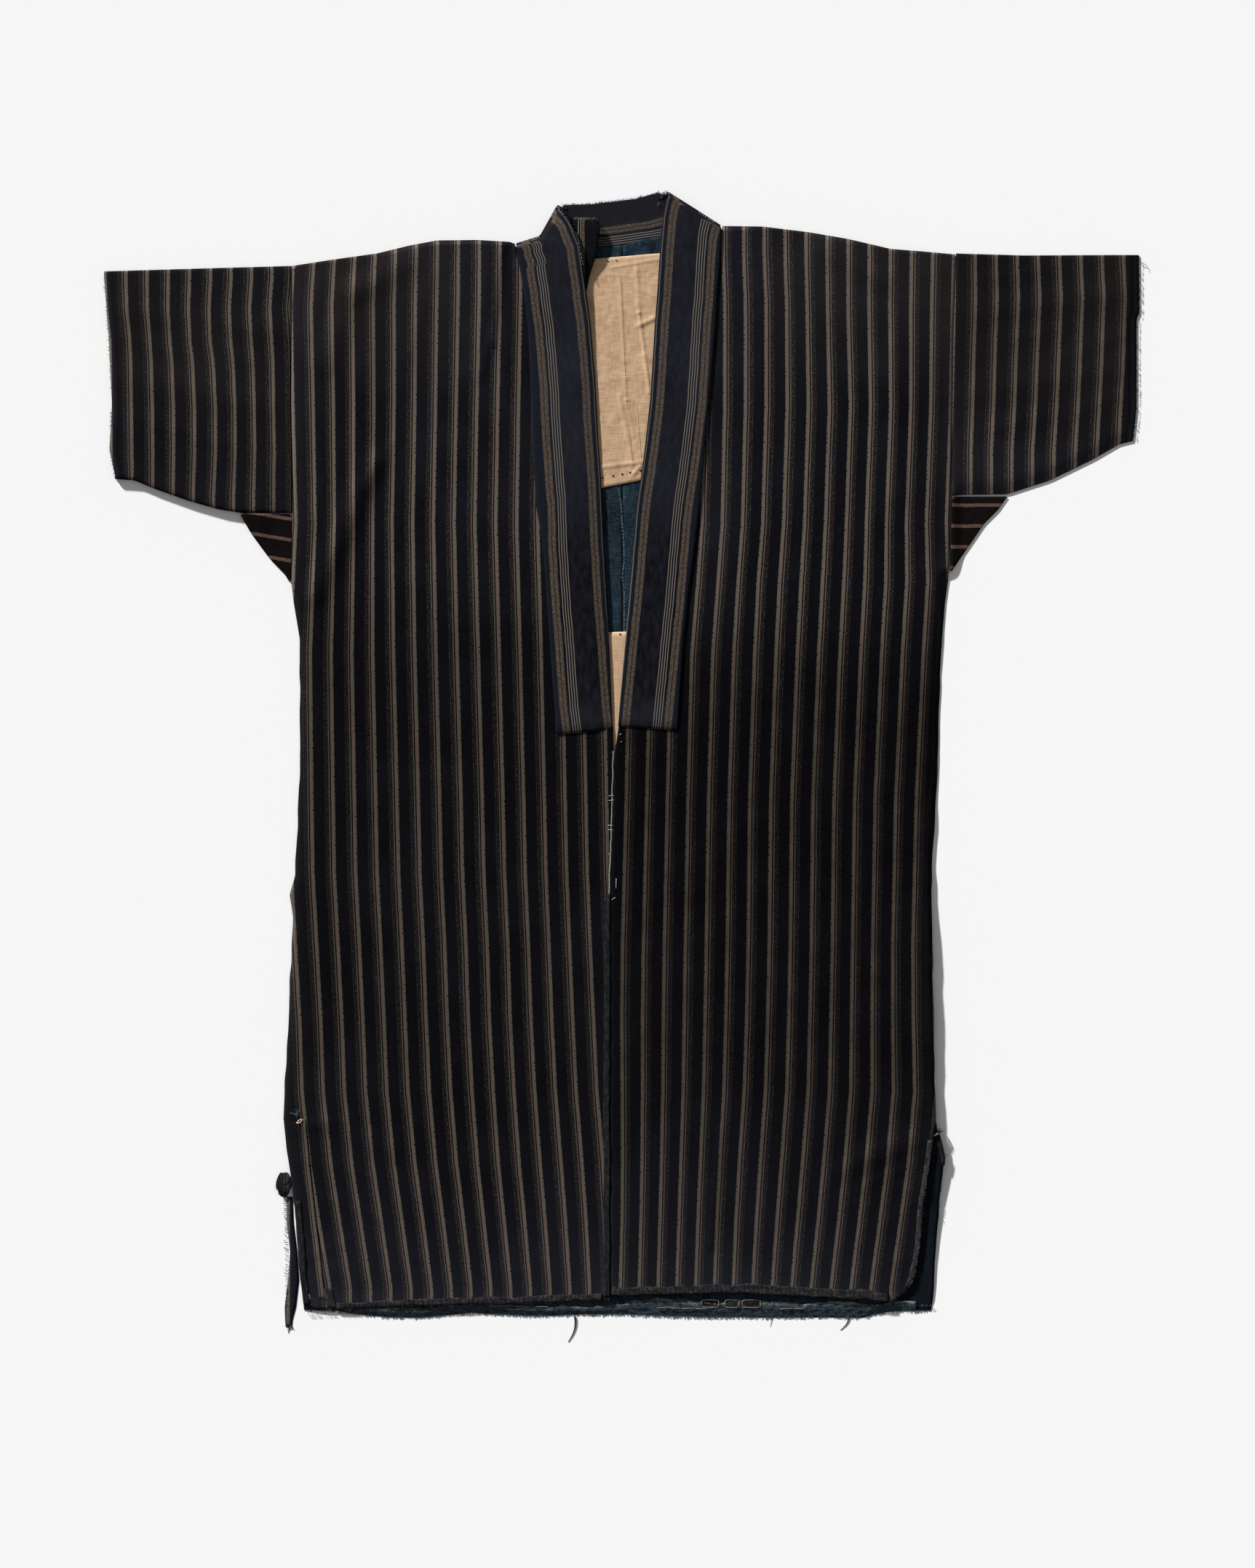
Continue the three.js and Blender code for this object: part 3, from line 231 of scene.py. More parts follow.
# Soft ridges of the laid cloth, from end to end; the first rows are the largest
foldColumns = "fromX fromY toX toY width height"
mainFolds = table(foldColumns, [
    (-248, 856, -308, 725, 12, 3.6), (-212, 1060, -270, 1029, 14, 2.2), (-270, 1029, -293, 960, 14, 2.2),
    (-250, 1030, -266, 835, 14, 1.8), (-129, 1070, -147, 950, 10, 1.8), (-300, 198, -234, 168, 11, 1.6),
    (203, 1070, 262, 1042, 14, 2.2), (270, 970, 276, 826, 14, 2.0), (290, 180, 245, 165, 11, 1.6),
    (290, 172, 216, 146, 11, 1.6), (-492, 1010, -350, 990, 15, 1.6), (-495, 942, -350, 913, 15, 1.3),
    (352, 1008, 495, 1026, 15, 1.5), (352, 928, 495, 950, 15, 1.2)])
fineFolds = table(foldColumns, [
    (-118.5, 1078, -131, 978, 3.2, 1.8), (-131, 978, -141, 940, 4, 1.0), (100, 190, 89, 72, 3.8, 1.5),
    (-300, 840, -318, 760, 5, 0.8), (-228, 880, -262, 830, 6, 0.7), (-318, 700, -290, 640, 6, 0.6),
    (-190, 1050, -215, 960, 7, 0.7), (-160, 1055, -165, 1000, 6, 0.5), (-300, 1040, -312, 985, 6, 0.7),
    (-110, 1000, -118, 900, 6, 0.5), (-330, 190, -262, 200, 5, 0.6), (-320, 160, -255, 140, 5, 0.5),
    (-300, 120, -240, 98, 6, 0.5), (-316, 60, -270, 78, 5, 0.5), (130, 1060, 150, 990, 7, 0.6),
    (170, 1058, 205, 1000, 7, 0.6), (240, 1050, 300, 1010, 6, 0.6), (292, 930, 300, 820, 6, 0.7),
    (300, 800, 312, 730, 6, 0.7), (262, 880, 250, 790, 7, 0.5), (296, 640, 306, 560, 7, 0.5),
    (300, 160, 238, 128, 5, 0.5), (296, 118, 262, 90, 5, 0.4), (282, 60, 240, 44, 6, 0.4),
    (-480, 1035, -420, 1020, 7, 0.6), (-430, 985, -372, 960, 8, 0.7), (-500, 985, -452, 968, 8, 0.6),
    (-478, 900, -420, 880, 8, 0.6), (-400, 880, -350, 850, 7, 0.6), (360, 1040, 430, 1052, 7, 0.5),
    (380, 980, 440, 990, 8, 0.6), (440, 960, 502, 985, 8, 0.6), (370, 890, 430, 905, 8, 0.6),
    (450, 905, 500, 925, 7, 0.5), (-60, 300, -50, 200, 8, 0.4), (60, 460, 52, 330, 8, 0.4),
    (-160, 420, -150, 300, 9, 0.4), (170, 380, 176, 250, 9, 0.4)])


def foldRelief(x, y, rows):
    # Each fold adds its height times a bell of the distance to its line
    total = np.zeros(np.shape(x))
    for ax, ay, bx, by, width, height in zip(*(rows[name] for name in foldColumns.split())):
        dx, dy = bx - ax, by - ay
        t = np.clip(((x - ax) * dx + (y - ay) * dy) / (dx * dx + dy * dy), 0, 1)
        total = total + height * np.exp(-((x - ax - t * dx) ** 2 + (y - ay - t * dy) ** 2) / width ** 2)
    return total


# Size, rise, stretch along y and seed of the small swellings
puckers = {"broad": (70, 0.5, 0.6, 3), "soft": (26, 0.35, 0.7, 4), "hem": (11, 0.5, 1.0, 5)}
puckerReach = {"hemY": 15.0, "reach": 40.0, "sideShare": 0.6}
sideSeam = {"level": 1.9, "round": 5.0, "left": (200, 735), "right": (182, 745), "fade": 12.0}
# How far the right side's edge stands up from the floor, both layers together
edgeLift = table("y rise", [(10, 0), (30, 0.3), (70, 1.1), (110, 2.3), (150, 3.5), (190, 4.4), (280, 4.3),
                            (340, 4.6), (400, 4.0), (430, 2.2), (455, 1.0), (505, 0.8), (530, 0)])
edgeWave = {"reach": 17.0, "length": 34.0, "share": 0.22}
# The left sleeve's lower edge stands up a little
sleeveLift = {"rise": 2.4, "reach": 24.0, "fromX": -345.0, "blend": 20.0}
# Along its hem the left front lies lower, and lowest at its outer corner, with the edge rolled down
hemRest = {"drop": 1.4, "cornerDrop": 1.1, "cornerX": -262.0, "cornerBlend": 50.0, "reach": 40.0, "roll": 4.0,
           "rollDrop": 0.9, "fromY": 10.0, "endX": -30.0, "endBlend": 15.0}


def edgeRise(x, y):
    # A wavy rise at the right side's edge that dies away inwards as a bell
    inward = np.maximum(readTable(frontRows["right"], "sideY", "sideX", y) - x, 0)
    waves = 1 + edgeWave["share"] * softNoise(y, 0 * y, edgeWave["length"], 6)
    return readTable(edgeLift, "y", "rise", y) * waves * np.exp(-(inward / edgeWave["reach"]) ** 2) * (x > 0)


def hemDrop(x, y):
    # How much lower the left front lies towards its hem, and at its rolled edge
    corner = 1 - smooth((x - hemRest["cornerX"]) / hemRest["cornerBlend"])
    nearHem = 1 - smooth((y - hemRest["fromY"]) / hemRest["reach"])
    low = (hemRest["drop"] + hemRest["cornerDrop"] * corner) * nearHem
    fromEdge = y - readTable(frontHem["left"], "x", "y", x)
    rolled = hemRest["rollDrop"] * corner * np.exp(-(fromEdge / hemRest["roll"]) ** 2)
    return (low + rolled) * (1 - smooth((x - hemRest["endX"]) / hemRest["endBlend"]))


# The right sleeve, its gusset and the side seam below them lie pressed to the floor along their edges
press = {"level": 1.15, "thin": 0.5, "sideReach": 6.0, "sleeveReach": 9.0, "fromY": 505.0, "toY": 748.0,
         "blend": 30.0, "sleeveX": 331.0, "sleeveBlend": 12.0}


def pressed(x, y):
    # One at those edges, falling to nought inwards as a bell
    x, y = np.asarray(x, float), np.asarray(y, float)
    toSide = readTable(frontRows["right"], "sideY", "sideX", y) - x
    side = np.exp(-(toSide / press["sideReach"]) ** 2) * smooth((y - press["fromY"]) / press["blend"])
    side = side * (y < press["toY"])
    toCuff = readTable(sleeveShape["right"]["cuffX"], "y", "x", y) - x
    toBottom = y - readTable(sleeveShape["right"]["bottomY"], "x", "y", x)
    inward = np.maximum(np.minimum(toCuff, toBottom), 0)
    onSleeve = smooth((x - press["sleeveX"]) / press["sleeveBlend"])
    onSleeve = onSleeve * (y >= press["toY"] - press["sleeveBlend"])
    onSleeve = onSleeve * np.exp(-(inward / press["sleeveReach"]) ** 2)
    return np.maximum(side, onSleeve) * (x > 0)


def puckered(name, x, y, share=1.0):
    # From nought to the pucker's rise, as its noise has it
    size, rise, stretch, seed = puckers[name]
    return rise * share * (1 + softNoise(x, y * stretch, size, seed)) / 2


def frontHeight(x, y):
    # Level over the body, lower at sleeves and side seams, plus folds and puckers that only stand upwards
    x, y = np.asarray(x, float), np.asarray(y, float)
    sides = [np.abs(readTable(frontRows[side], "sideY", "sideX", y)) for side in ("left", "right")]
    inward = np.where(x < 0, sides[0], sides[1]) - np.abs(x)
    edge = mix(levels["sideSeam"], levels["sleeve"], smooth((y - armpitY) / armpitBlend))
    height = mix(edge, levels["front"], np.clip(inward / seamRise, 0, 1))
    height = height + foldRelief(x, y, mainFolds) + foldRelief(x, y, fineFolds)
    height = height + puckered("broad", x, y)
    height = height + puckered("soft", x, y)
    nearHem = 1 - smooth((y - puckerReach["hemY"]) / puckerReach["reach"])
    nearSide = 1 - smooth(np.abs(inward) / puckerReach["reach"])
    fromBottom = y - readTable(sleeveShape["left"]["bottomY"], "x", "y", x)
    onSleeve = smooth((sleeveLift["fromX"] - x) / sleeveLift["blend"])
    onSleeve = onSleeve * np.exp(-(fromBottom / sleeveLift["reach"]) ** 2)
    height = height + edgeRise(x, y) + sleeveLift["rise"] * onSleeve - hemDrop(x, y)
    height = height + puckered("hem", x, y, np.maximum(nearHem, puckerReach["sideShare"] * nearSide))
    return mix(height, press["level"], pressed(x, y))


def curveOffset(rows, x):
    # How far the table's curve lies above the straight line between its ends
    first, last = (rows["x"][0], rows["y"][0]), (rows["x"][-1], rows["y"][-1])
    straight = mix(first[1], last[1], np.clip((x - first[0]) / (last[0] - first[0]), 0, 1))
    return readTable(rows, "x", "y", x) - straight


def stripeIndex(rows, x, y):
    # The stripes' count, straight between the table's stripes and on past the first and last of them
    names = [name for name in rows if name != "y"]
    counts = [int(name[1:]) for name in names]
    places = [readTable(rows, "y", name, y) for name in names]
    index = None
    for i in range(len(names) - 1):
        share = (x - places[i]) / (places[i + 1] - places[i])
        value = counts[i] + share * (counts[i + 1] - counts[i])
        index = value if index is None else np.where(value > counts[i], value, index)
    return index


def spacedRows(rows, key, spacing):
    # The table's columns read at even steps along the edge that key names
    step = np.hypot(np.diff(rows[key + "X"]), np.diff(rows[key + "Y"]))
    along = np.concatenate([[0], np.cumsum(step)])
    at = np.linspace(0, along[-1], max(2, int(round(along[-1] / spacing)) + 1))
    return {name: np.interp(at, along, values) for name, values in rows.items()}


def gridBetween(rows, first, second, u):
    # Straight lines from one edge's points to the other's
    u = u[None, :]
    x = mix(rows[first + "X"][:, None], rows[second + "X"][:, None], u)
    y = mix(rows[first + "Y"][:, None], rows[second + "Y"][:, None], u)
    return x, y


def wall(name, points, thick, uvOver, uvUnder=None, marks=None, wraps=False):
    # Two sheets half a thickness to each side of the grid, joined by rims; thick may vary over the grid.
    # Each mark is a pair of grids, for the sheet above and the one below, that the finish reads by its name.
    # Where wraps is set the last row joins the first, and the pattern has one row more than the points.
    rowCount, columnCount = points.shape[:2]
    if wraps:
        ringed = np.concatenate([points[-1:], points, points[:1]])
        alongRows = ringed[2:] - ringed[:-2]
    else:
        alongRows = np.gradient(points, axis=0)
    normal = np.cross(alongRows, np.gradient(points, axis=1))
    normal /= np.maximum(np.linalg.norm(normal, axis=2, keepdims=True), 1e-9)
    half = np.broadcast_to(np.asarray(thick, float), points.shape[:2])[:, :, None] / 2
    over, under = points + normal * half, points - normal * half
    co = np.concatenate([over.reshape(-1, 3), under.reshape(-1, 3)])
    co[:, 2] = np.maximum(co[:, 2], 0)
    count = rowCount * columnCount
    r = np.arange(rowCount if wraps else rowCount - 1)[:, None]
    c = np.arange(columnCount - 1)[None, :]
    spot = lambda row, column: (row % rowCount) * columnCount + column
    uvSpot = lambda row, column: row * columnCount + column
    uvUnder = uvOver if uvUnder is None else uvUnder
    uvAll = np.concatenate([uvOver.reshape(-1, 2), uvUnder.reshape(-1, 2)])
    uvCount = len(uvOver.reshape(-1, 2))
    faces, faceUv = [], []

    def add(corners):
        # corners are (row, column, sheet); rims take the over sheet's pattern
        index = [spot(a, b) + s * count for a, b, s in corners]
        flatUse = len({s for _, _, s in corners}) == 1
        pattern = [uvSpot(a, b) + (s * uvCount if flatUse else 0) for a, b, s in corners]
        shape = np.broadcast_shapes(*(np.shape(i) for i in index))
        faces.append(np.stack([np.broadcast_to(i, shape).ravel() for i in index], 1))
        faceUv.append(np.stack([np.broadcast_to(i, shape).ravel() for i in pattern], 1))

    add([(r, c, 0), (r + 1, c, 0), (r + 1, c + 1, 0), (r, c + 1, 0)])
    add([(r, c, 1), (r, c + 1, 1), (r + 1, c + 1, 1), (r + 1, c, 1)])
    e = np.array([columnCount - 1])
    z = np.array([0])
    add([(r, z, 0), (r, z, 1), (r + 1, z, 1), (r + 1, z, 0)])
    add([(r, e, 0), (r + 1, e, 0), (r + 1, e, 1), (r, e, 1)])
    if not wraps:
        e = np.array([[rowCount - 1]])
        z = np.array([[0]])
        add([(z, c, 0), (z, c + 1, 0), (z, c + 1, 1), (z, c, 1)])
        add([(e, c, 0), (e, c, 1), (e, c + 1, 1), (e, c + 1, 0)])
    quads, quadUv = np.concatenate(faces), np.concatenate(faceUv)
    if signedVolume(co, quads) < 0:
        quads, quadUv = quads[:, ::-1], quadUv[:, ::-1]
    values = {}
    for key, (overValue, underValue) in (marks or {}).items():
        sheets = [np.broadcast_to(value, points.shape[:2]).ravel() for value in (overValue, underValue)]
        values[key] = np.concatenate(sheets)
    return makeMesh(name, co, quads, uvAll[quadUv.ravel()], values)


def signedVolume(co, quads):
    # Below nought where the faces point inwards
    a, b, c, d = (co[quads[:, i]] for i in range(4))
    return (np.einsum("ij,ij->i", a, np.cross(b, c)) + np.einsum("ij,ij->i", a, np.cross(c, d))).sum() / 6


def makeMesh(name, co, faces, uv=None, values=None):
    # Points and faces with their pattern and marks, as an object that lies where the frame has the coat
    mesh = bpy.data.meshes.new(name)
    sides = faces.shape[1]
    mesh.vertices.add(len(co))
    placed = (co + np.array([shiftX, shiftY, 0])) / 1000
    mesh.vertices.foreach_set("co", placed.astype(np.float32).ravel())
    mesh.loops.add(faces.size)
    mesh.loops.foreach_set("vertex_index", faces.astype(np.int32).ravel())
    mesh.polygons.add(len(faces))
    mesh.polygons.foreach_set("loop_start", np.arange(0, faces.size, sides, dtype=np.int32))
    mesh.polygons.foreach_set("loop_total", np.full(len(faces), sides, np.int32))
    mesh.update(calc_edges=True)
    mesh.validate()
    mesh.shade_smooth()
    if uv is not None:
        mesh.uv_layers.new(name="cloth").data.foreach_set("uv", uv.astype(np.float32).ravel())
    for key, value in (values or {}).items():
        mesh.attributes.new(key, "FLOAT", "POINT").data.foreach_set("value", value.astype(np.float32))
    piece = bpy.data.objects.new(name, mesh)
    bpy.context.scene.collection.objects.link(piece)
    return piece


class Wire:
    # A number in a shader, so that its maths reads as an expression
    def __init__(self, shade, socket):
        self.shade, self.socket = shade, socket

    def math(self, operation, first, second=0.0):
        return self.shade.node("ShaderNodeMath", {"operation": operation}, {0: first, 1: second})

    def __add__(self, other):
        return self.math("ADD", self, other)

    __radd__ = __add__

    def __sub__(self, other):
        return self.math("SUBTRACT", self, other)

    def __rsub__(self, other):
        return self.math("SUBTRACT", other, self)

    def __mul__(self, other):
        return self.math("MULTIPLY", self, other)

    __rmul__ = __mul__

    def __truediv__(self, other):
        return self.math("DIVIDE", self, other)

    def __rtruediv__(self, other):
        return self.math("DIVIDE", other, self)

    def high(self, other):
        return self.math("MAXIMUM", self, other)

    def fraction(self):
        return self.math("FRACT", self)

    def size(self):
        return self.math("ABSOLUTE", self)

    def sine(self, period):
        return self.math("SINE", self * (2 * np.pi / period))

    def band(self, centre, half, soft):
        # One inside centre plus or minus half, falling to nought over soft
        return self.shade.clamp((half + soft - (self - centre).size()) / soft)


def linear(colour):
    # Screen colours from 0 to 255 as the shader's linear ones
    c = np.array(colour, float) / 255
    return (*np.where(c <= 0.04045, c / 12.92, ((c + 0.055) / 1.055) ** 2.4), 1.0)


class Shade:
    # A finish: its node tree, the pattern across and along the piece, and the place in the coat
    def __init__(self, name, specular=0.03):
        self.material = bpy.data.materials.new(name)
        self.material.use_nodes = True
        self.tree = self.material.node_tree
        self.shader = self.tree.nodes["Principled BSDF"]
        self.shader.inputs["Specular IOR Level"].default_value = specular
        pattern = self.node("ShaderNodeUVMap", {"uv_map": "cloth"}, {})
        split = self.node("ShaderNodeSeparateXYZ", {}, {0: pattern}, every=True)
        self.across, self.along = split[0], split[1]
        self.place = self.node("ShaderNodeTexCoord", {}, {}, every=True)[3].socket

    def node(self, kind, settings, sockets, every=False):
        made = self.tree.nodes.new(kind)
        for key, value in settings.items():
            if key == "stops":
                ramp = made.color_ramp
                while len(ramp.elements) < len(value):
                    ramp.elements.new(1.0)
                for element, (position, colour) in zip(ramp.elements, value):
                    element.position, element.color = position, colour
            else:
                setattr(made, key, value)
        for key, value in sockets.items():
            socket = made.inputs[key]
            value = value.socket if isinstance(value, Wire) else value
            if isinstance(value, bpy.types.NodeSocket):
                self.tree.links.new(value, socket)
            else:
                socket.default_value = value
        outputs = [output for output in made.outputs if output.enabled]
        return [Wire(self, output) for output in outputs] if every else Wire(self, outputs[0])

    def clamp(self, value):
        return self.node("ShaderNodeClamp", {}, {0: value})

    def mark(self, name):
        return self.node("ShaderNodeAttribute", {"attribute_name": name}, {}, every=True)[2]

    def blend(self, factor, first, second, mode="MIX"):
        settings = {"data_type": "RGBA", "blend_type": mode}
        return self.node("ShaderNodeMix", settings, {0: factor, 6: first, 7: second})

    def vector(self, x, y, z=0.0):
        return self.node("ShaderNodeCombineXYZ", {}, {0: x, 1: y, 2: z})

    def noise(self, vector, scale, detail=2.0, rough=0.5):
        sockets = {"Vector": vector, "Scale": scale, "Detail": detail, "Roughness": rough}
        return self.node("ShaderNodeTexNoise", {"noise_dimensions": "3D"}, sockets)

    def finish(self, colour, roughness, height, strength, distance):
        bump = self.node("ShaderNodeBump", {}, {"Strength": strength, "Distance": distance, "Height": height})
        for name, value in (("Base Color", colour), ("Roughness", roughness), ("Normal", bump)):
            if isinstance(value, Wire):
                self.tree.links.new(value.socket, self.shader.inputs[name])
            else:
                self.shader.inputs[name].default_value = value
        return self.material


threadPitch = {"warp": 0.9, "weft": 1.1}


def threads(shade):
    # Height of a plain weave: warp and weft threads that pass over and under each other
    warp = shade.across.sine(threadPitch["warp"])
    weft = shade.along.sine(threadPitch["weft"])
    return (warp * weft + 1) / 2


def speckle(shade, acrossSize, alongSize, seedShift=0.0):
    # Noise with specks of these sizes in millimetres
    vector = shade.vector(shade.across / acrossSize + seedShift, shade.along / alongSize)
    return shade.noise(vector, 1.0, 3.0, 0.6)


stripeColours = {
    "navy": (11, 10, 15), "navyWarm": (19, 17, 20), "bloom": (34, 34, 42), "faint": (33, 27, 27),
    "fleck": (70, 64, 60), "thin": (94, 86, 80), "thinDark": (52, 46, 44), "gap": (20, 7, 5),
    "tan": (97, 85, 74), "tanGrey": (87, 83, 77), "tanDark": (68, 58, 50), "notch": (18, 16, 20),
    "fadedNavy": (50, 54, 64), "fadedTan": (140, 130, 118), "insideNavy": (17, 21, 27),
    "insideBlue": (38, 47, 56), "brown": (35, 30, 28), "gusset": (14, 11, 11), "gussetWarm": (23, 18, 17),
    "gussetTan": (94, 73, 62),
}
# How wide each line of the repeat is, as shares of the repeat: centre, half width and soft rim
stripeLines = {"wide": (0.5, 0.078, 0.014), "gap": (0.384, 0.026, 0.014), "thin": (0.325, 0.025, 0.014),
               "faint": (0.185, 0.085, 0.03), "dotsA": (0.137, 0.014, 0.014), "dotsB": (0.226, 0.014, 0.014),
               "notch": (0.572, 0.03, 0.012)}


def stripedCotton(name):
    # Stripes across the cloth, mottled along their threads, faded by the marks laid on the mesh:
    # navy ground, faint dotted lines, a thin line, a red-brown gap and a wide tan stripe with a nicked edge
    shade = Shade(name)
    colour = {key: linear(value) for key, value in stripeColours.items()}
    fine = speckle(shade, 0.8, 1.7)
    coarse = speckle(shade, 3.0, 9.0, 7.3)
    dots = speckle(shade, 1.6, 2.2, 3.7)
    wander = (shade.noise(shade.vector(shade.across / 60, shade.along / 14), 1.0) - 0.5) * 0.6
    place = ((shade.across + wander) / stripeRepeat + 0.5).fraction()
    line = {key: place.band(*value) for key, value in stripeLines.items()}
    base = shade.blend(shade.clamp((coarse - 0.42) * 2.2), colour["navy"], colour["navyWarm"])
    base = shade.blend(shade.clamp((fine - 0.56) * 4) * 0.45, base, colour["bloom"])
    base = shade.blend(line["faint"] * 0.4, base, colour["faint"])
    dotted = line["dotsA"].high(line["dotsB"]) * shade.clamp((dots - 0.47) * 7)
    base = shade.blend(dotted * 0.75, base, colour["fleck"])
    base = shade.blend(line["gap"], base, colour["gap"])
    thin = shade.blend(shade.clamp((fine - 0.38) * 4), colour["thinDark"], colour["thin"])
    base = shade.blend(line["thin"], base, thin)
    tan = shade.blend(shade.clamp((place - 0.49) * 9 + coarse - 0.3), colour["tan"], colour["tanGrey"])
    tan = shade.blend(shade.clamp((0.5 - fine) * 4), tan, colour["tanDark"])
    base = shade.blend(line["wide"], base, tan)
    ticks = shade.noise(shade.vector(shade.across / stripeRepeat, shade.along / 2.4), 1.0, 1.0)
    base = shade.blend(line["notch"] * shade.clamp((ticks - 0.56) * 14), base, colour["notch"])
    lightness = shade.node("ShaderNodeRGBToBW", {}, {0: base})
    faded = shade.blend(shade.clamp(lightness * 6), colour["fadedNavy"], colour["fadedTan"])
    blotch = shade.noise(shade.place, 45.0, 4.0, 0.6)
    base = shade.blend(shade.clamp(shade.mark("fade") * (0.4 + blotch * 1.1)), base, faded)
    base = shade.blend(shade.clamp(shade.mark("brown") * (0.3 + blotch)), base, colour["brown"], "LIGHTEN")
    insideMix = shade.clamp((fine - 0.45) * 3 + coarse - 0.5)
    inside = shade.blend(insideMix, colour["insideNavy"], colour["insideBlue"])
    base = shade.blend(shade.mark("inside"), base, inside)
    # the deep mark darkens the cloth towards black
    base = shade.blend(shade.mark("deep") * (0.5 + blotch), base, (0, 0, 0, 1))
    height = threads(shade) * 0.5 + fine * 0.5 + line["wide"] * 0.25
    return shade.finish(base, 0.93, height, 0.5, 0.0003)


def brownGusset():
    # Older brown cloth with one pinkish tan stripe to the repeat
    shade = Shade("brownGusset")
    colour = {key: linear(value) for key, value in stripeColours.items()}
    fine = speckle(shade, 0.8, 1.7)
    coarse = speckle(shade, 3.0, 9.0, 7.3)
    wander = (shade.noise(shade.vector(shade.across / 60, shade.along / 9), 1.0) - 0.5) * 1.4
    place = ((shade.across + wander) / stripeRepeat + 0.5).fraction()
    base = shade.blend(shade.clamp((coarse - 0.4) * 2.4), colour["gusset"], colour["gussetWarm"])
    stripe = place.band(0.5, 0.07, 0.02) * shade.clamp((fine - 0.3) * 5)
    base = shade.blend(stripe, base, colour["gussetTan"])
    return shade.finish(base, 0.93, threads(shade) * 0.5 + fine * 0.5, 0.5, 0.0003)


coat = {"spacing": 3.6, "backSpacing": 12.0, "halfWidth": 330, "wobble": 0.7, "wobbleLength": 17.0,
        "wobbleBlend": 20, "wobbleHold": 30, "ragReach": 12, "foldSteps": 6, "curveReach": 150.0,
        "hemFull": 0.3, "hemTaper": 10.0, "endStep": 0.1, "lastStripe": -1.6, "stripesTop": 1066}


def foldArc(lowZ, highZ, steps):
    # Half a circle between two layers: how far each point stands out, and its height
    angle = np.linspace(-np.pi / 2, np.pi / 2, steps + 1)[1:-1]
    radius = (highZ - lowZ) / 2
    return [(radius * np.cos(a), (lowZ + highZ) / 2 + radius * np.sin(a)) for a in angle]


def bodyPanel(side):
    # One length of cloth: up the back, over the shoulder as a half circle, and down the front
    columns = int(coat["halfWidth"] / coat["spacing"])
    u = np.linspace(0, 1, columns + 1)

    def layer(rows, hem, spacing):
        dense = spacedRows(rows, "side", spacing)
        x, y = gridBetween(dense, "side", "inner", u)
        fromShoulder, fromHem = y[:1] - y, y - y[-1:]
        # the side edge wobbles where no sleeve is sewn to it
        free = 1 - smooth((y - armpitY + coat["wobbleBlend"]) / coat["wobbleBlend"])
        wobble = coat["wobble"] * softNoise(y, 0 * y, coat["wobbleLength"], 21)
        x = x + wobble * free * (1 - u) ** coat["wobbleHold"]
        rise = curveOffset(shoulder[side], x) * smooth(1 - fromShoulder / coat["curveReach"])
        drop = curveOffset(hem, x) * smooth(1 - fromHem / coat["curveReach"])
        ragged = coat["wobble"] * softNoise(x, 0 * x, coat["wobbleLength"], 22)
        return x, y + rise + drop + ragged * smooth(1 - fromHem / coat["ragReach"])

    frontX, frontY = layer(frontRows[side], frontHem[side], coat["spacing"])
    backX, backY = layer(backRows[side], backHem[side], coat["backSpacing"])
    # one more row just before the hem, so that it ends in a crisp edge
    extra = lambda rows: mix(rows[-1:], rows[-2:-1], coat["endStep"])
    backX, backY = (np.concatenate([rows[:-1], extra(rows), rows[-1:]]) for rows in (backX, backY))
    frontZ = frontHeight(frontX, frontY)
    seamLow, seamHigh = sideSeam[side]
    sewn = smooth((frontY - seamLow) / sideSeam["fade"]) * smooth((seamHigh - frontY) / sideSeam["fade"])
    closed = sewn * (1 - smooth(np.abs(frontX - frontX[:, :1]) / sideSeam["round"]))
    seamZ = mix(sideSeam["level"], press["level"], pressed(frontX, frontY)) + edgeRise(frontX, frontY)
    frontZ = mix(frontZ, seamZ, closed)
    backX, backY = backX[:0:-1], backY[:0:-1]
    hemFull = mix(coat["hemFull"], 1, smooth((backY - backY[:1]) / coat["hemTaper"]))
    topX, topZ = frontX[0], frontZ[0]
    centreY = frontY[0] - cloth / 2 - (topZ - levels["back"]) / 2
    stack = [np.stack([backX, backY, levels["back"] * hemFull + edgeRise(backX, backY)], 2)]
    stack.append(np.stack([topX, centreY, np.full_like(topX, levels["back"])], 1)[None])
    for reach, z in foldArc(levels["back"], topZ, coat["foldSteps"]):
        stack.append(np.stack([topX, centreY + reach, z], 1)[None])
    stack.append(np.stack([topX, centreY, topZ], 1)[None])
    stack.append(np.stack([frontX, frontY, frontZ], 2)[1:])
    points = np.concatenate(stack)
    frontRowCount = len(frontX) - 1
    x, y = points[:, :, 0], points[:, :, 1]
    # behind the shoulder the stripes run on straight from it
    readY = np.where(np.arange(len(points))[:, None] >= len(points) - frontRowCount, y, coat["stripesTop"])
    index = np.maximum(stripeIndex(bodyStripes[side], x, readY), coat["lastStripe"])
    step = np.linalg.norm(np.diff(points[:, columns // 2], axis=0), axis=1)
    along = np.concatenate([[0], np.cumsum(step)])
    along = np.broadcast_to((along - along[len(points) - frontRowCount])[:, None], x.shape)
    uv = np.stack([index * stripeRepeat, along], 2)
    onBack = (np.arange(len(points)) < len(backX))[:, None] * np.ones_like(x)
    marks = {**wearMarks(side, x, y), "inside": (0 * x, onBack)}
    if side == "right":
        marks = {key: value[::-1] for key, value in marks.items()}
    frontFull = 1 - press["thin"] * pressed(x[len(hemFull):], y[len(hemFull):])
    thick = cloth * np.concatenate([hemFull, frontFull])
    return wall(f"body_{side}_cloth", points, thick, uv, marks=marks)


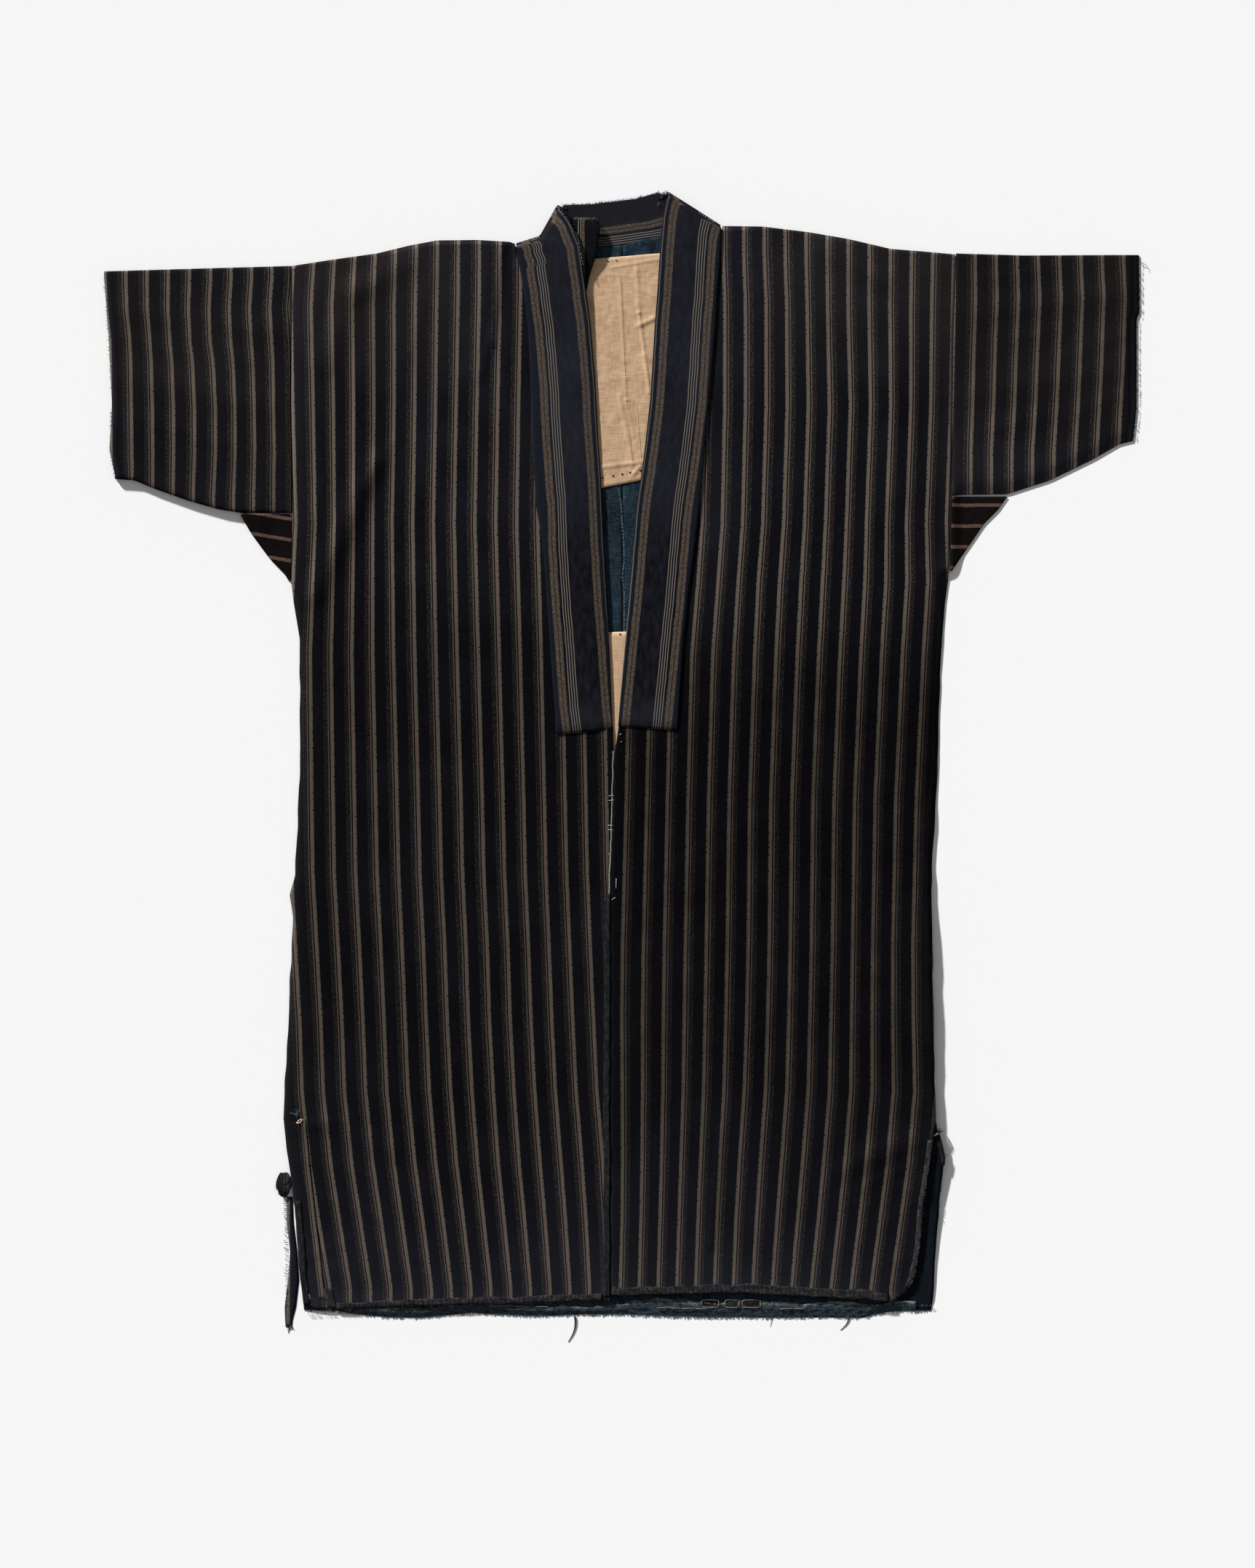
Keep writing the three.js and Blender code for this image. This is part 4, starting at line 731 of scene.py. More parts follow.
# Wear of the body halves: strengths, and where and over how far they fade out
wear = {
    "left": {"opening": 0.2, "bleach": 0.08, "brown": 0.75, "darkTop": 775, "darkening": 0.34},
    "right": {"opening": 0.04, "bleach": 0.05, "brown": 0.58, "darkTop": 740, "darkening": 0.53},
    "edge": 0.25, "edgeReach": 5, "hem": 0.3, "hemTop": 15, "hemReach": 22, "skirt": 0.11, "skirtFrom": 20,
    "skirtReach": 330, "openingReach": 4, "openingTop": 585, "topFrom": 900, "topBlend": 160,
    "clouds": 0.05, "cloudSizes": (90, 34), "chest": 0.05, "chestFrom": 700, "chestBlend": 150,
    "brownX": 105, "brownBlend": 90, "sideBrown": 0.25, "sideBrownX": 290, "sideBrownBlend": 40,
    "darkBlend": 130, "darkAtHem": 0.45, "darkFull": 300,
}


def wearMarks(side, x, y):
    # Fading along the hem, the edges and the opening, brown on the shoulders, darker below the chest
    own = wear[side]
    sideX = np.abs(readTable(frontRows[side], "sideY", "sideX", y))
    innerX = readTable(frontRows[side], "innerY", "innerX", y)
    edge = wear["edge"] * np.exp(-np.abs(sideX - np.abs(x)) / wear["edgeReach"])
    hem = wear["hem"] * np.exp(-np.maximum(y - wear["hemTop"], 0) / wear["hemReach"])
    hem = hem + wear["skirt"] * smooth(1 - (y - wear["skirtFrom"]) / wear["skirtReach"])
    opening = own["opening"] * np.exp(-np.abs(x - innerX) / wear["openingReach"]) * (y < wear["openingTop"])
    top = smooth((y - wear["topFrom"]) / wear["topBlend"])
    large, small = wear["cloudSizes"]
    patches = wear["clouds"] * (softNoise(x, y * 0.5, large, 31) + softNoise(x, y, small, 32))
    chest = wear["chest"] * smooth((y - wear["chestFrom"]) / wear["chestBlend"])
    fade = np.clip(edge + hem + opening + own["bleach"] * top + chest + patches, 0, 1)
    shoulderBrown = own["brown"] * smooth((np.abs(x) - wear["brownX"]) / wear["brownBlend"])
    sideBrown = wear["sideBrown"] * smooth((np.abs(x) - wear["sideBrownX"]) / wear["sideBrownBlend"])
    brown = np.clip(shoulderBrown * top + sideBrown, 0, 1)
    # darker below the chest, less so towards the hem
    darkReach = smooth((own["darkTop"] - y) / wear["darkBlend"])
    deep = own["darkening"] * (darkReach * mix(wear["darkAtHem"], 1, smooth(y / wear["darkFull"])))
    return {"fade": (fade, fade), "brown": (brown, brown), "deep": (deep, deep)}


# A sleeve's mesh, then its wear: the cuff's fading and dark line, cloudy fading and brown, and darker reaches
# above and below given heights
tube = {"width": 185, "height": 235, "backRows": 24, "passes": 8, "start": 5}
sleeveWear = {
    "left": {"lowFade": 0, "darkening": 0.08, "lowDark": 0.22},
    "right": {"lowFade": 0.1, "darkening": 0.27, "lowDark": 0},
    "cuff": 0.3, "cuffReach": 7, "even": 0.05, "clouds": 0.06, "cloudSize": 60, "brown": 0.4, "brownSize": 80,
    "lowTop": 900, "lowBlend": 50, "darkFrom": 870, "darkBlend": 90, "line": 0.4, "lineIn": 7.5,
    "lineWidth": 2.2,
}


def sleeve(side):
    # A flattened tube: front layer, bottom fold, back layer and top fold, from the seam to the cuff
    shape = sleeveShape[side]
    w = np.linspace(0, 1, int(tube["width"] / coat["spacing"]) + 1)[None, :]

    def place(t):
        # its edges depend on x and its ends on y, so the place is found in a few passes
        y = mix(shape["topY"]["y"][0], shape["bottomY"]["y"][0], t) + 0 * w
        for _ in range(tube["passes"]):
            x = mix(readTable(shape["seamX"], "y", "x", y), readTable(shape["cuffX"], "y", "x", y), w)
            inset = cloth / 2 + (frontHeight(x, y) - levels["back"]) / 2
            top, bottom = readTable(shape["topY"], "x", "y", x), readTable(shape["bottomY"], "x", "y", x)
            y = mix(top - inset, bottom + inset, t)
        return x, y, frontHeight(x, y)

    frontT = np.linspace(0, 1, int(tube["height"] / coat["spacing"]) + 1)[:, None]
    backT = np.linspace(1, 0, tube["backRows"])[:, None]
    x, y, z = place(frontT)
    backX, backY, _ = place(backT)
    flat = np.full_like(backX, levels["back"])
    stack = [np.stack([x, y, z], 2)]
    for reach, level in reversed(foldArc(levels["back"], z[-1], coat["foldSteps"])):
        stack.append(np.stack([x[-1], y[-1] - reach, level], 1)[None])
    stack.append(np.stack([backX, backY, flat], 2))
    for reach, level in foldArc(levels["back"], z[0], coat["foldSteps"]):
        stack.append(np.stack([x[0], y[0] + reach, level], 1)[None])
    points = np.concatenate(stack)
    closed = np.concatenate([points, points[:1]])
    index = stripeIndex(sleeveStripes[side], closed[:, :, 0], closed[:, :, 1])
    step = np.linalg.norm(np.diff(closed[:, tube["start"]], axis=0), axis=1)
    along = np.broadcast_to(np.concatenate([[0], np.cumsum(step)])[:, None], index.shape)
    uv = np.stack([index * stripeRepeat, along], 2)
    px, py = points[:, :, 0], points[:, :, 1]
    own = sleeveWear[side]
    toCuff = np.abs(readTable(shape["cuffX"], "y", "x", py)) - np.abs(px)
    low = smooth((sleeveWear["lowTop"] - py) / sleeveWear["lowBlend"])
    fade = sleeveWear["cuff"] * np.exp(-np.abs(toCuff) / sleeveWear["cuffReach"]) + sleeveWear["even"]
    clouds = sleeveWear["clouds"] * softNoise(px, py, sleeveWear["cloudSize"], 33)
    fade = np.clip(fade + own["lowFade"] * low + clouds, 0, 1)
    brown = np.clip(sleeveWear["brown"] * (1 + softNoise(px, py, sleeveWear["brownSize"], 34)), 0, 1)
    # darker above one height and below another
    deep = own["darkening"] * smooth((py - sleeveWear["darkFrom"]) / sleeveWear["darkBlend"]) + own["lowDark"] * low
    # the turned cuff shows as a dark line beside the edge
    fromLine = (toCuff - sleeveWear["lineIn"]) / sleeveWear["lineWidth"]
    deep = deep + sleeveWear["line"] * np.exp(-fromLine ** 2)
    marks = {"fade": (fade, fade), "brown": (brown, brown), "inside": (0, 0), "deep": (deep, deep)}
    overRows = (np.arange(len(points)) < len(frontT) + coat["foldSteps"] - 1)[:, None]
    thick = cloth * (1 - press["thin"] * pressed(px, py) * overRows)
    return wall(f"sleeve_{side}_cloth", points, thick, uv, marks=marks, wraps=True)


gussetGrid = {"start": 0.05, "rows": 22, "columns": 26}


def gusset(side):
    # A square folded on its diagonal: straight lines from its corner to the slanting fold, above and below
    shape = gussetShape[side]
    s = np.linspace(gussetGrid["start"], 1, gussetGrid["rows"])[:, None]
    f = np.linspace(0, 1, gussetGrid["columns"])
    fold = shape["fold"]
    at = np.linspace(0, 1, len(fold["x"]))
    fx, fy = np.interp(f, at, fold["x"]), np.interp(f, at, fold["y"])
    z = frontHeight(fx, fy)
    inset = cloth / 2 + (z - levels["back"]) / 2
    fx, fy = fx - shape["outward"][0] * inset, fy - shape["outward"][1] * inset
    x, y = mix(shape["corner"][0], fx, s), mix(shape["corner"][1], fy, s)
    stack = [np.stack([x, y, frontHeight(x, y)], 2)]
    for reach, level in reversed(foldArc(levels["back"], z, coat["foldSteps"])):
        spot = [fx + shape["outward"][0] * reach, fy + shape["outward"][1] * reach, level]
        stack.append(np.stack(spot, 1)[None])
    stack.append(np.stack([x, y, np.full_like(x, levels["back"])], 2)[::-1])
    points = np.concatenate(stack)
    stripeX, stripeY = shape["stripe"]
    across = points[:, :, 1] - stripeY + shape["slope"] * (points[:, :, 0] - stripeX)
    overRows = (np.arange(len(points)) < len(x) + coat["foldSteps"] - 1)[:, None]
    thick = cloth * (1 - press["thin"] * pressed(points[:, :, 0], points[:, :, 1]) * overRows)
    return wall(f"gusset_{side}_cloth", points, thick, np.stack([across, points[:, :, 0]], 2))


bands = {"rowSpacing": 3.2, "columns": 18, "edgeRound": 2.4, "edgeFull": 0.12, "width": 61.0,
         "creaseX": -110, "creaseY": 1077.5, "creaseSlope": 0.183, "creaseDepth": 1.0, "creaseWidth": 1.8,
         "endStep": 0.06, "endTaper": 8.0, "endFull": 0.35,
         "droop": 1.5, "droopFrom": 0.7, "droopTop": 1010, "droopBlend": 60,
         "turnedAt": 14, "neckTurned": 23, "neckPlain": 0.55,
         "paleChest": 0.26, "chestFrom": 750, "chestBlend": 110, "paleEnd": 0.2, "endFrom": 640, "endBlend": 50,
         "paleUneven": 0.6, "paleSize": 40}
# How much nearer to the free edge the woven lines lie towards the lower ends
lineShift = {"left": table("y shift", [(585, 6.2), (593, 5.6), (611, 3.8), (658, 2.2), (723, 1.0), (900, 0)]),
             "right": table("y shift", [(585, 2.9), (658, 1.6), (723, 1.4), (900, 0)])}


def bandAcross(rows, u):
    # A parabola through the sewn edge, the middle and the free edge, or two straight lines where it lifts
    outer, middle, inner = (1 - u) * (1 - 2 * u), 4 * u * (1 - u), u * (2 * u - 1)
    corner = smooth(rows["lift"][:, None] / 2)
    outer, inner = mix(outer, np.maximum(1 - 2 * u, 0), corner), mix(inner, np.maximum(2 * u - 1, 0), corner)
    middle = mix(middle, 1 - np.abs(2 * u - 1), corner)
    column = lambda name: rows[name][:, None]
    x = column("sewnX") * outer + column("midX") * middle + column("freeX") * inner
    return x, column("sewnY") * outer + column("midY") * middle + column("freeY") * inner


def rounded(u, rim, least):
    # A share of the thickness across a piece: a quarter circle at each edge, and never under the least
    return np.sqrt(np.clip(1 - (1 - np.minimum(u, 1 - u) / rim).clip(0, 1) ** 2, least, 1))


def collarBand(side):
    # Up the front on the cloth, over the shoulder as a half circle, and along the floor to the centre back
    sign = 1 if side == "left" else -1
    rim = np.array([0, 0.25, 0.55, 1.0]) * bands["edgeRound"] / bands["width"]
    u = np.concatenate([rim, np.linspace(rim[-1], 1 - rim[-1], bands["columns"])[1:-1], 1 - rim[::-1]])
    fullness = rounded(u, rim[-1], bands["edgeFull"])
    front = spacedRows(bandFront[side], "mid", bands["rowSpacing"])
    back = spacedRows(bandBack[side], "mid", bands["rowSpacing"])
    x, y = bandAcross(front, u[None, :])
    curl = front["lift"][:, None] * u[None, :] ** 2
    fromEnd = front["midY"] - front["midY"][0]
    endFull = mix(bands["endFull"], 1.0, smooth(fromEnd / bands["endTaper"]))[:, None]
    z = frontHeight(x, y) + bandLift + curl - (1 - endFull) * thickness["band"] / 2
    # the left band's free edge hangs past the front and sinks towards the lining
    toEdge = smooth((u[None, :] - bands["droopFrom"]) / (1 - bands["droopFrom"]))
    z = z - bands["droop"] * toEdge * smooth((bands["droopTop"] - y) / bands["droopBlend"]) * (side == "left")
    floorZ = thickness["band"] / 2
    dx, dy = np.gradient(x[-1]), np.gradient(y[-1])
    length = np.hypot(dx, dy)
    outX, outY = -sign * dy / length, sign * dx / length
    inset = floorZ + (z[-1] - floorZ) / 2
    turnX, turnY = x[-1] - outX * inset, y[-1] - outY * inset
    stack = [np.stack([x, y, z], 2)[:-1], np.stack([turnX, turnY, z[-1]], 1)[None]]
    for reach, level in reversed(foldArc(floorZ, z[-1], coat["foldSteps"])):
        stack.append(np.stack([turnX + outX * reach, turnY + outY * reach, level], 1)[None])
    stack.append(np.stack([turnX, turnY, np.full_like(turnX, floorZ)], 1)[None])
    bx, by = bandAcross(back, u[None, :])
    backBand = np.stack([bx, by, np.full_like(bx, floorZ)], 2)
    stack += [backBand[:-1], mix(backBand[-1:], backBand[-2:-1], bands["endStep"]), backBand[-1:]]
    points = np.concatenate(stack)
    crease = bands["creaseY"] + bands["creaseSlope"] * (points[:, :, 0] - bands["creaseX"])
    onFront = (np.arange(len(points)) < len(x))[:, None] * (side == "left")
    trough = np.exp(-((points[:, :, 1] - crease) / bands["creaseWidth"]) ** 2)
    trough = trough * smooth((0.75 - u[None, :]) * 6)
    points[:, :, 2] -= onFront * bands["creaseDepth"] * trough
    step = np.linalg.norm(np.diff(points[:, 10], axis=0), axis=1)
    along = np.broadcast_to(np.concatenate([[0], np.cumsum(step)])[:, None], points.shape[:2])
    # how far each point lies from the free edge, square to the band
    way = np.gradient(points, axis=0)
    way /= np.maximum(np.linalg.norm(way, axis=2, keepdims=True), 1e-9)
    steps, way = np.diff(points[:, ::-1], axis=1), way[:, ::-1][:, 1:]
    across = np.linalg.norm(steps - way * (steps * way).sum(2, keepdims=True), axis=2)
    distance = np.concatenate([0 * across[:, :1], np.cumsum(across, axis=1)], axis=1)[:, ::-1]
    shifted = distance + readTable(lineShift[side], "y", "shift", points[:, :, 1])
    outer, inner = np.stack([shifted, along], 2), np.stack([-distance, along], 2)
    uvs = (outer, inner) if side == "right" else (inner, outer)
    # at the left neck the stripes end at a crease and the turned part is plain
    plain = smooth((points[:, :, 1] - crease) / 2) * smooth((distance - bands["turnedAt"]) / 2)
    plain = plain * (side == "left")
    atNeck = (np.arange(len(points)) >= len(points) - len(bx))[:, None]
    plain = np.where(atNeck, bands["neckPlain"] * smooth((bands["neckTurned"] - distance) / 3), plain)
    # the band is paler over the chest and at its lower end
    rubbed = bands["paleChest"] * smooth((points[:, :, 1] - bands["chestFrom"]) / bands["chestBlend"])
    rubbed = rubbed + bands["paleEnd"] * smooth((bands["endFrom"] - points[:, :, 1]) / bands["endBlend"])
    uneven = 1 + bands["paleUneven"] * softNoise(points[:, :, 0], points[:, :, 1], bands["paleSize"], 35)
    rubbed = np.clip(rubbed * uneven, 0, 1)
    rowFull = np.concatenate([endFull, np.ones((len(points) - len(endFull), 1))])
    return wall(f"collar_{side}_cloth", points, thickness["band"] * rowFull * fullness[None, :], *uvs,
                marks={"plain": (plain, plain), "rubbed": (rubbed, rubbed)})


pieces = {}
print("Body and sleeves")
for side in ("left", "right"):
    pieces[f"body_{side}"] = bodyPanel(side)
    pieces[f"sleeve_{side}"] = sleeve(side)
    pieces[f"gusset_{side}"] = gusset(side)
    pieces[f"collar_{side}"] = collarBand(side)


# Linings and patches
flatWork = {"spacing": 3.5, "fine": 1.2, "thinEdge": 2.5, "edgeFull": 0.35}
liningForm = {"inset": 26.0, "short": 7.0, "reach": 2.6, "seamX": 1.0, "lap": 0.8, "lapRise": 0.12,
              "lapWidth": 3, "drop": 0.5, "dropFrom": 14, "dropBlend": 16, "waves": 0.25, "waveSize": 12,
              "wavesFrom": 20}
patchCreases = table(foldColumns, [
    (-2, 1042, 5, 920, 1.6, 0.35), (5, 920, 12, 884, 1.6, 0.3), (15, 1052, 17.5, 1008, 2.2, 0.6),
    (17.5, 1008, 28, 928, 1.6, 0.9), (17, 995, 32, 1002, 2.4, 1.0), (24, 965, 29, 960, 3, 0.7),
    (-2, 924, 11, 855, 2.2, 0.5), (-30, 1000, -24, 900, 4, 0.3), (40, 1040, 46, 940, 4, 0.4),
    (-34, 851, 52, 862, 2.0, 0.6), (-20, 940, 30, 946, 5, 0.25), (-10, 1053, 40, 1062, 1.4, 0.45),
    (-14, 1046, 12, 1044, 1.6, 0.25), (12, 846, 18, 853, 2.0, 0.8), (-6, 1012, 14, 1006, 3, 0.25),
    (22, 1030, 34, 1024, 3, 0.3), (-12, 968, 4, 960, 4, 0.25), (-8, 900, 2, 880, 4, 0.3)])


def flatPiece(name, rows, level, thick, relief=None, marks=None, spacing=flatWork["spacing"]):
    # A grid between a left and a right edge at one level, plus its lifts and relief, thinner at its borders
    dense = spacedRows(rows, "left", spacing)
    width = np.abs(rows["rightX"] - rows["leftX"]).max()
    u = np.linspace(0, 1, max(4, int(width / spacing)) + 1)
    x, y = gridBetween(dense, "left", "right", u)
    alongRow = np.arange(len(x))[:, None] * spacing
    toEnds = np.minimum(alongRow, alongRow[::-1])
    toSides = np.minimum(u, 1 - u)[None, :] * width
    full = mix(flatWork["edgeFull"], 1, smooth(np.minimum(toEnds, toSides) / flatWork["thinEdge"]))
    z = np.full_like(x, level) - (1 - full) * thick / 2
    if "leftLift" in dense:
        z = z + mix(dense["leftLift"][:, None], dense["rightLift"][:, None], u[None, :])
    if relief is not None:
        z = z + relief(x, y)
    return wall(name, np.stack([x, y, z], 2), thick * full, np.stack([x, y], 2), marks=marks)


def liningRelief(x, y):
    # Small waves, and a low ridge along the seam where one half laps over the other
    seam = liningForm["seamX"] + liningForm["lap"]
    ridge = liningForm["lapRise"] * np.exp(-((x - seam) / liningForm["lapWidth"]) ** 2) * (x <= seam + 0.01)
    low = liningForm["drop"] * (1 - smooth((y - liningForm["dropFrom"]) / liningForm["dropBlend"]))
    waves = liningForm["waves"] * softNoise(x, y, liningForm["waveSize"], 41)
    waves = waves * smooth((y - liningForm["wavesFrom"]) / 20) * smooth(np.abs(x - seam) / 4)
    return ridge - low + waves


def backLining(side):
    # Half of the lining, inside the front's side edge, ending at its seam beside the centre back
    sign = -1 if side == "left" else 1
    rows = {name: values[1:] for name, values in backRows[side].items()}
    short = np.where(np.arange(len(rows["sideY"])) == len(rows["sideY"]) - 1, liningForm["short"], 0.0)
    seamX = liningForm["seamX"] + (liningForm["lap"] if side == "left" else 0)
    shape = {
        "leftX": readTable(frontRows[side], "sideY", "sideX", rows["sideY"]) - sign * liningForm["inset"],
        "leftY": rows["sideY"] + short,
        "rightX": np.where(np.abs(rows["innerX"]) < 1, seamX, rows["innerX"]),
        "rightY": rows["innerY"] + np.where(short > 0, short, liningForm["reach"]),
    }
    return flatPiece(f"lining_{side}_cloth", shape, levels["lining"], thickness["lining"], liningRelief)


knot = {"x": -338.8, "y": 133.6, "z": 3, "halfWidth": 7.4, "halfLength": 11.8, "halfHeight": 2.9,
        "around": 40, "rows": 23, "lumps": 0.13, "wraps": 0.08, "inside": 0.65}


def tornKnot():
    # A ball pressed flat, swollen by noise into wrapped rag
    turns = np.linspace(0, 2 * np.pi, knot["around"] + 1)[:-1]
    angle, height = np.meshgrid(turns, np.linspace(-1, 1, knot["rows"]), indexing="xy")
    ring = np.sqrt(1 - np.minimum(np.abs(height), 0.995) ** 2)
    x, y = ring * np.cos(angle), ring * np.sin(angle)
    lumps = knot["lumps"] * softNoise(angle * 3 + height * 4, height * 3, 1, 51)
    swell = 1 + lumps + knot["wraps"] * np.sin(angle * 3 + height * 6)
    co = np.stack([knot["x"] + x * swell * knot["halfWidth"], knot["y"] + y * swell * knot["halfLength"],
                   knot["z"] + knot["halfHeight"] * height * np.minimum(swell, 1)], 2)
    rows, columns = co.shape[:2]
    r, c = np.meshgrid(np.arange(rows - 1), np.arange(columns), indexing="ij")
    spot = lambda a, b: a * columns + b % columns
    faces = np.stack([spot(r, c), spot(r, c + 1), spot(r + 1, c + 1), spot(r + 1, c)], 2).reshape(-1, 4)
    points = np.concatenate([co.reshape(-1, 3), [co[0].mean(0)], [co[-1].mean(0)]])
    ends = []
    for row, pole, turn in ((0, rows * columns, 1), (rows - 1, rows * columns + 1, -1)):
        k = np.arange(0, columns, 2)
        corners = [np.full_like(k, pole), spot(row, k + 2), spot(row, k + 1), spot(row, k)]
        ends.append(np.stack(corners[::turn], 1))
    faces = np.concatenate([faces, *ends])
    uv = points[faces.ravel()][:, :2]
    return makeMesh("torn_knot_cloth", points, faces, uv, {"inside": np.full(len(points), knot["inside"])})


strips = {
    "hem_front_left": {"fromX": -286, "toX": -19, "width": 7.5, "worn": 0.95, "ticks": 1.0, "lowEdge": 0.2},
    "hem_front_right": {"fromX": -10, "toX": 268, "width": 8.5, "worn": 0.75, "ticks": 1.0},
    "front_edge_left": {"column": "inner", "sign": -1, "width": 6.0, "topY": 420, "bottomY": 20, "worn": 0.3},
    "vent_edge_left": {"column": "side", "sign": 1, "width": 6.5, "topY": 117, "bottomY": 12, "worn": 0.3},
    "vent_edge_right": {"column": "side", "sign": -1, "width": 4.6, "topY": 178, "bottomY": 30, "worn": 1.3},
}


# Columns across a strip, its rounded rim, row spacing, and how uneven its edge and width are
stripGrid = {"across": [0, 0.06, 0.18, 0.35, 0.5, 0.65, 0.82, 0.94, 1.0], "rim": 0.18, "rimFull": 0.15,
             "spacing": 3, "edgeWobble": 0.5, "widthWobble": 0.18, "crinkle": 0.3}


def frontStrip(name):
    # A turned edge that lies on the front cloth, rounded along both sides
    form = strips[name]
    side = "left" if name.endswith("left") else "right"
    u = np.array(stripGrid["across"])[None, :]
    full = rounded(u, stripGrid["rim"], stripGrid["rimFull"])
    evenly = lambda start, end: np.linspace(start, end, int(abs(end - start) / stripGrid["spacing"]))[:, None]
    if "column" in form:
        y = evenly(form["topY"], form["bottomY"])
        edgeX = readTable(frontRows[side], form["column"] + "Y", form["column"] + "X", y)
        edgeX = edgeX + stripGrid["edgeWobble"] * softNoise(y, 0 * y, 15, 61)
        x, y = edgeX + form["sign"] * u * form["width"], y + 0 * u
        uv = np.stack([u * form["width"] + 0 * y, y], 2)
    else:
        x = evenly(form["fromX"], form["toX"]) + 0 * u
        wide = form["width"] * (1 + stripGrid["widthWobble"] * softNoise(x, 0 * x, 22, 62))
        edgeY = readTable(frontHem[side], "x", "y", x) + stripGrid["edgeWobble"] * softNoise(x, 0 * x, 12, 63)
        y = edgeY + u * wide
        uv = np.stack([y - y[:, :1], x], 2)
    z = frontHeight(x, y) + stripLift * mix(form.get("lowEdge", 1.0), 1, smooth(u * 3))
    z = z + stripGrid["crinkle"] * softNoise(x, y, 7, 64)
    marks = {key: (form.get(key, 0.0), form.get(key, 0.0)) for key in ("worn", "ticks")}
    return wall(name + "_cloth", np.stack([x, y, z], 2), thickness["lining"] * full, uv, marks=marks)


hemBack = {"fromX": -288.0, "toX": 296.0, "spacing": 1.5, "rise": 0.7, "width": 8.6, "rightWidth": 15.5,
           "narrowX": 225.0, "narrowBlend": 40.0, "edge": 0.55, "level": 2.3, "freeFrom": 258.0,
           "freeDrop": 0.55, "rim": 0.25, "rimFull": 0.12, "thick": 0.9,
           "broadWave": (0.16, 19), "fineWave": (0.08, 6), "raggedEdge": (0.35, 4), "crinkle": (0.3, 5)}
# Three open loops of its running thread, as spans along x
hemLoops = [(81, 97), (104.3, 117.5), (122, 139)]
loopShape = {"low": 10.4, "high": 17.0, "level": 3.1}


def lowEdge(x):
    # The back's hem line
    return np.where(x < 0, readTable(backHem["left"], "x", "y", x), readTable(backHem["right"], "x", "y", x))


def hemWidth(x):
    # How wide the turned hem shows, uneven, and wider on the right half
    onRight = smooth(np.asarray(x) / 14) * (1 - smooth((x - hemBack["narrowX"]) / hemBack["narrowBlend"]))
    wide = mix(hemBack["width"], hemBack["rightWidth"], onRight)
    (broad, broadSize), (fine, fineSize) = hemBack["broadWave"], hemBack["fineWave"]
    return wide * (1 + broad * softNoise(x, 0 * x, broadSize, 66) + fine * softNoise(x, 0 * x, fineSize, 67))


def turnedBackHem():
    # The back's hem turned up on the inside: a ragged strip that climbs from the hem's edge onto the lining
    x = np.arange(hemBack["fromX"], hemBack["toX"], hemBack["spacing"])[:, None]
    u = np.concatenate([[0, 0.06], np.linspace(0.14, 0.86, 9), [0.94, 1]])[None, :]
    wide = hemWidth(x)
    ragged, raggedSize = hemBack["raggedEdge"]
    y = lowEdge(x) + hemBack["rise"] + u * wide + ragged * softNoise(x, 0 * x, raggedSize, 69)
    x = x + 0 * u
    top = hemBack["level"] - hemBack["freeDrop"] * smooth((x - hemBack["freeFrom"]) / 6)
    crinkle, crinkleSize = hemBack["crinkle"]
    z = mix(hemBack["edge"], top, smooth(u * 1.4)) + crinkle * softNoise(x, y, crinkleSize, 68) * smooth(u * 3)
    full = rounded(u, hemBack["rim"], hemBack["rimFull"])
    rim = smooth((u - 0.66) / 0.2) + 0 * x
    inLoop = sum(smooth((x - a) / 1.5) * smooth((b - x) / 1.5) for a, b in hemLoops)
    slot = inLoop * smooth((y - loopShape["low"]) / 1.2) * smooth((loopShape["high"] - y) / 1.2)
    return wall("hem_back_cloth", np.stack([x, y, z], 2), hemBack["thick"] * full, np.stack([y, x], 2),
                marks={"rim": (rim, rim), "slot": (slot, slot)})


pleatRows = table(patchColumns, [
    (-322, 199, -316.2, 199), (-318.5, 150, -311.5, 150), (-312.5, 95, -305.2, 95), (-306.5, 45, -299.2, 45),
    (-303.5, 18.5, -296.5, 18.5)])
# Where it begins and ends, how high and thick it is, and where the stripe runs on it
pleat = {"spacing": 3.0, "topY": 199.5, "bottomY": 17.0, "rise": 0.35, "thick": 0.25, "swell": 0.6,
         "stripeAt": 0.62, "stripeWidth": 8.5}


def ventPleat():
    # The left front's last stripe, pinched into a narrow pleat that runs down the vent
    dense = spacedRows(pleatRows, "left", pleat["spacing"])
    u = np.linspace(0, 1, 9)
    x, y = gridBetween(dense, "left", "right", u)
    full = np.sin(np.pi * np.clip(u, 0.04, 0.96))[None, :] * smooth((pleat["topY"] - y) / 10 + 0.1)
    full = full * smooth((y - pleat["bottomY"]) / 8 + 0.1)
    z = frontHeight(x, y) + cloth / 2 + pleat["rise"] * full
    uv = np.stack([(u[None, :] - pleat["stripeAt"]) * pleat["stripeWidth"] + 0 * x, y], 2)
    marks = {**wearMarks("left", x, y), "inside": (0, 0)}
    thick = pleat["thick"] + pleat["swell"] * full
    return wall("vent_pleat_cloth", np.stack([x, y, z], 2), thick, uv, marks=marks)


# Bits of cloth sewn or torn at the vents, with their thickness and wear
darnedBit = {"rows": table(patchColumns, [
    (-299.5, 30, -289.5, 28), (-298, 21, -288, 20), (-294.5, 9.5, -285.5, 9)]),
             "thick": 0.7, "above": 0.35, "worn": 0.7}
tornBit = {"rows": table(patchColumns, [
    (313.5, 184, 319, 184), (317, 171, 322.5, 171), (319.5, 160, 324.5, 160), (321, 152.5, 324, 152.5)]),
           "level": 1.9, "crinkle": 0.5, "follow": 0.75, "worn": 0.25}

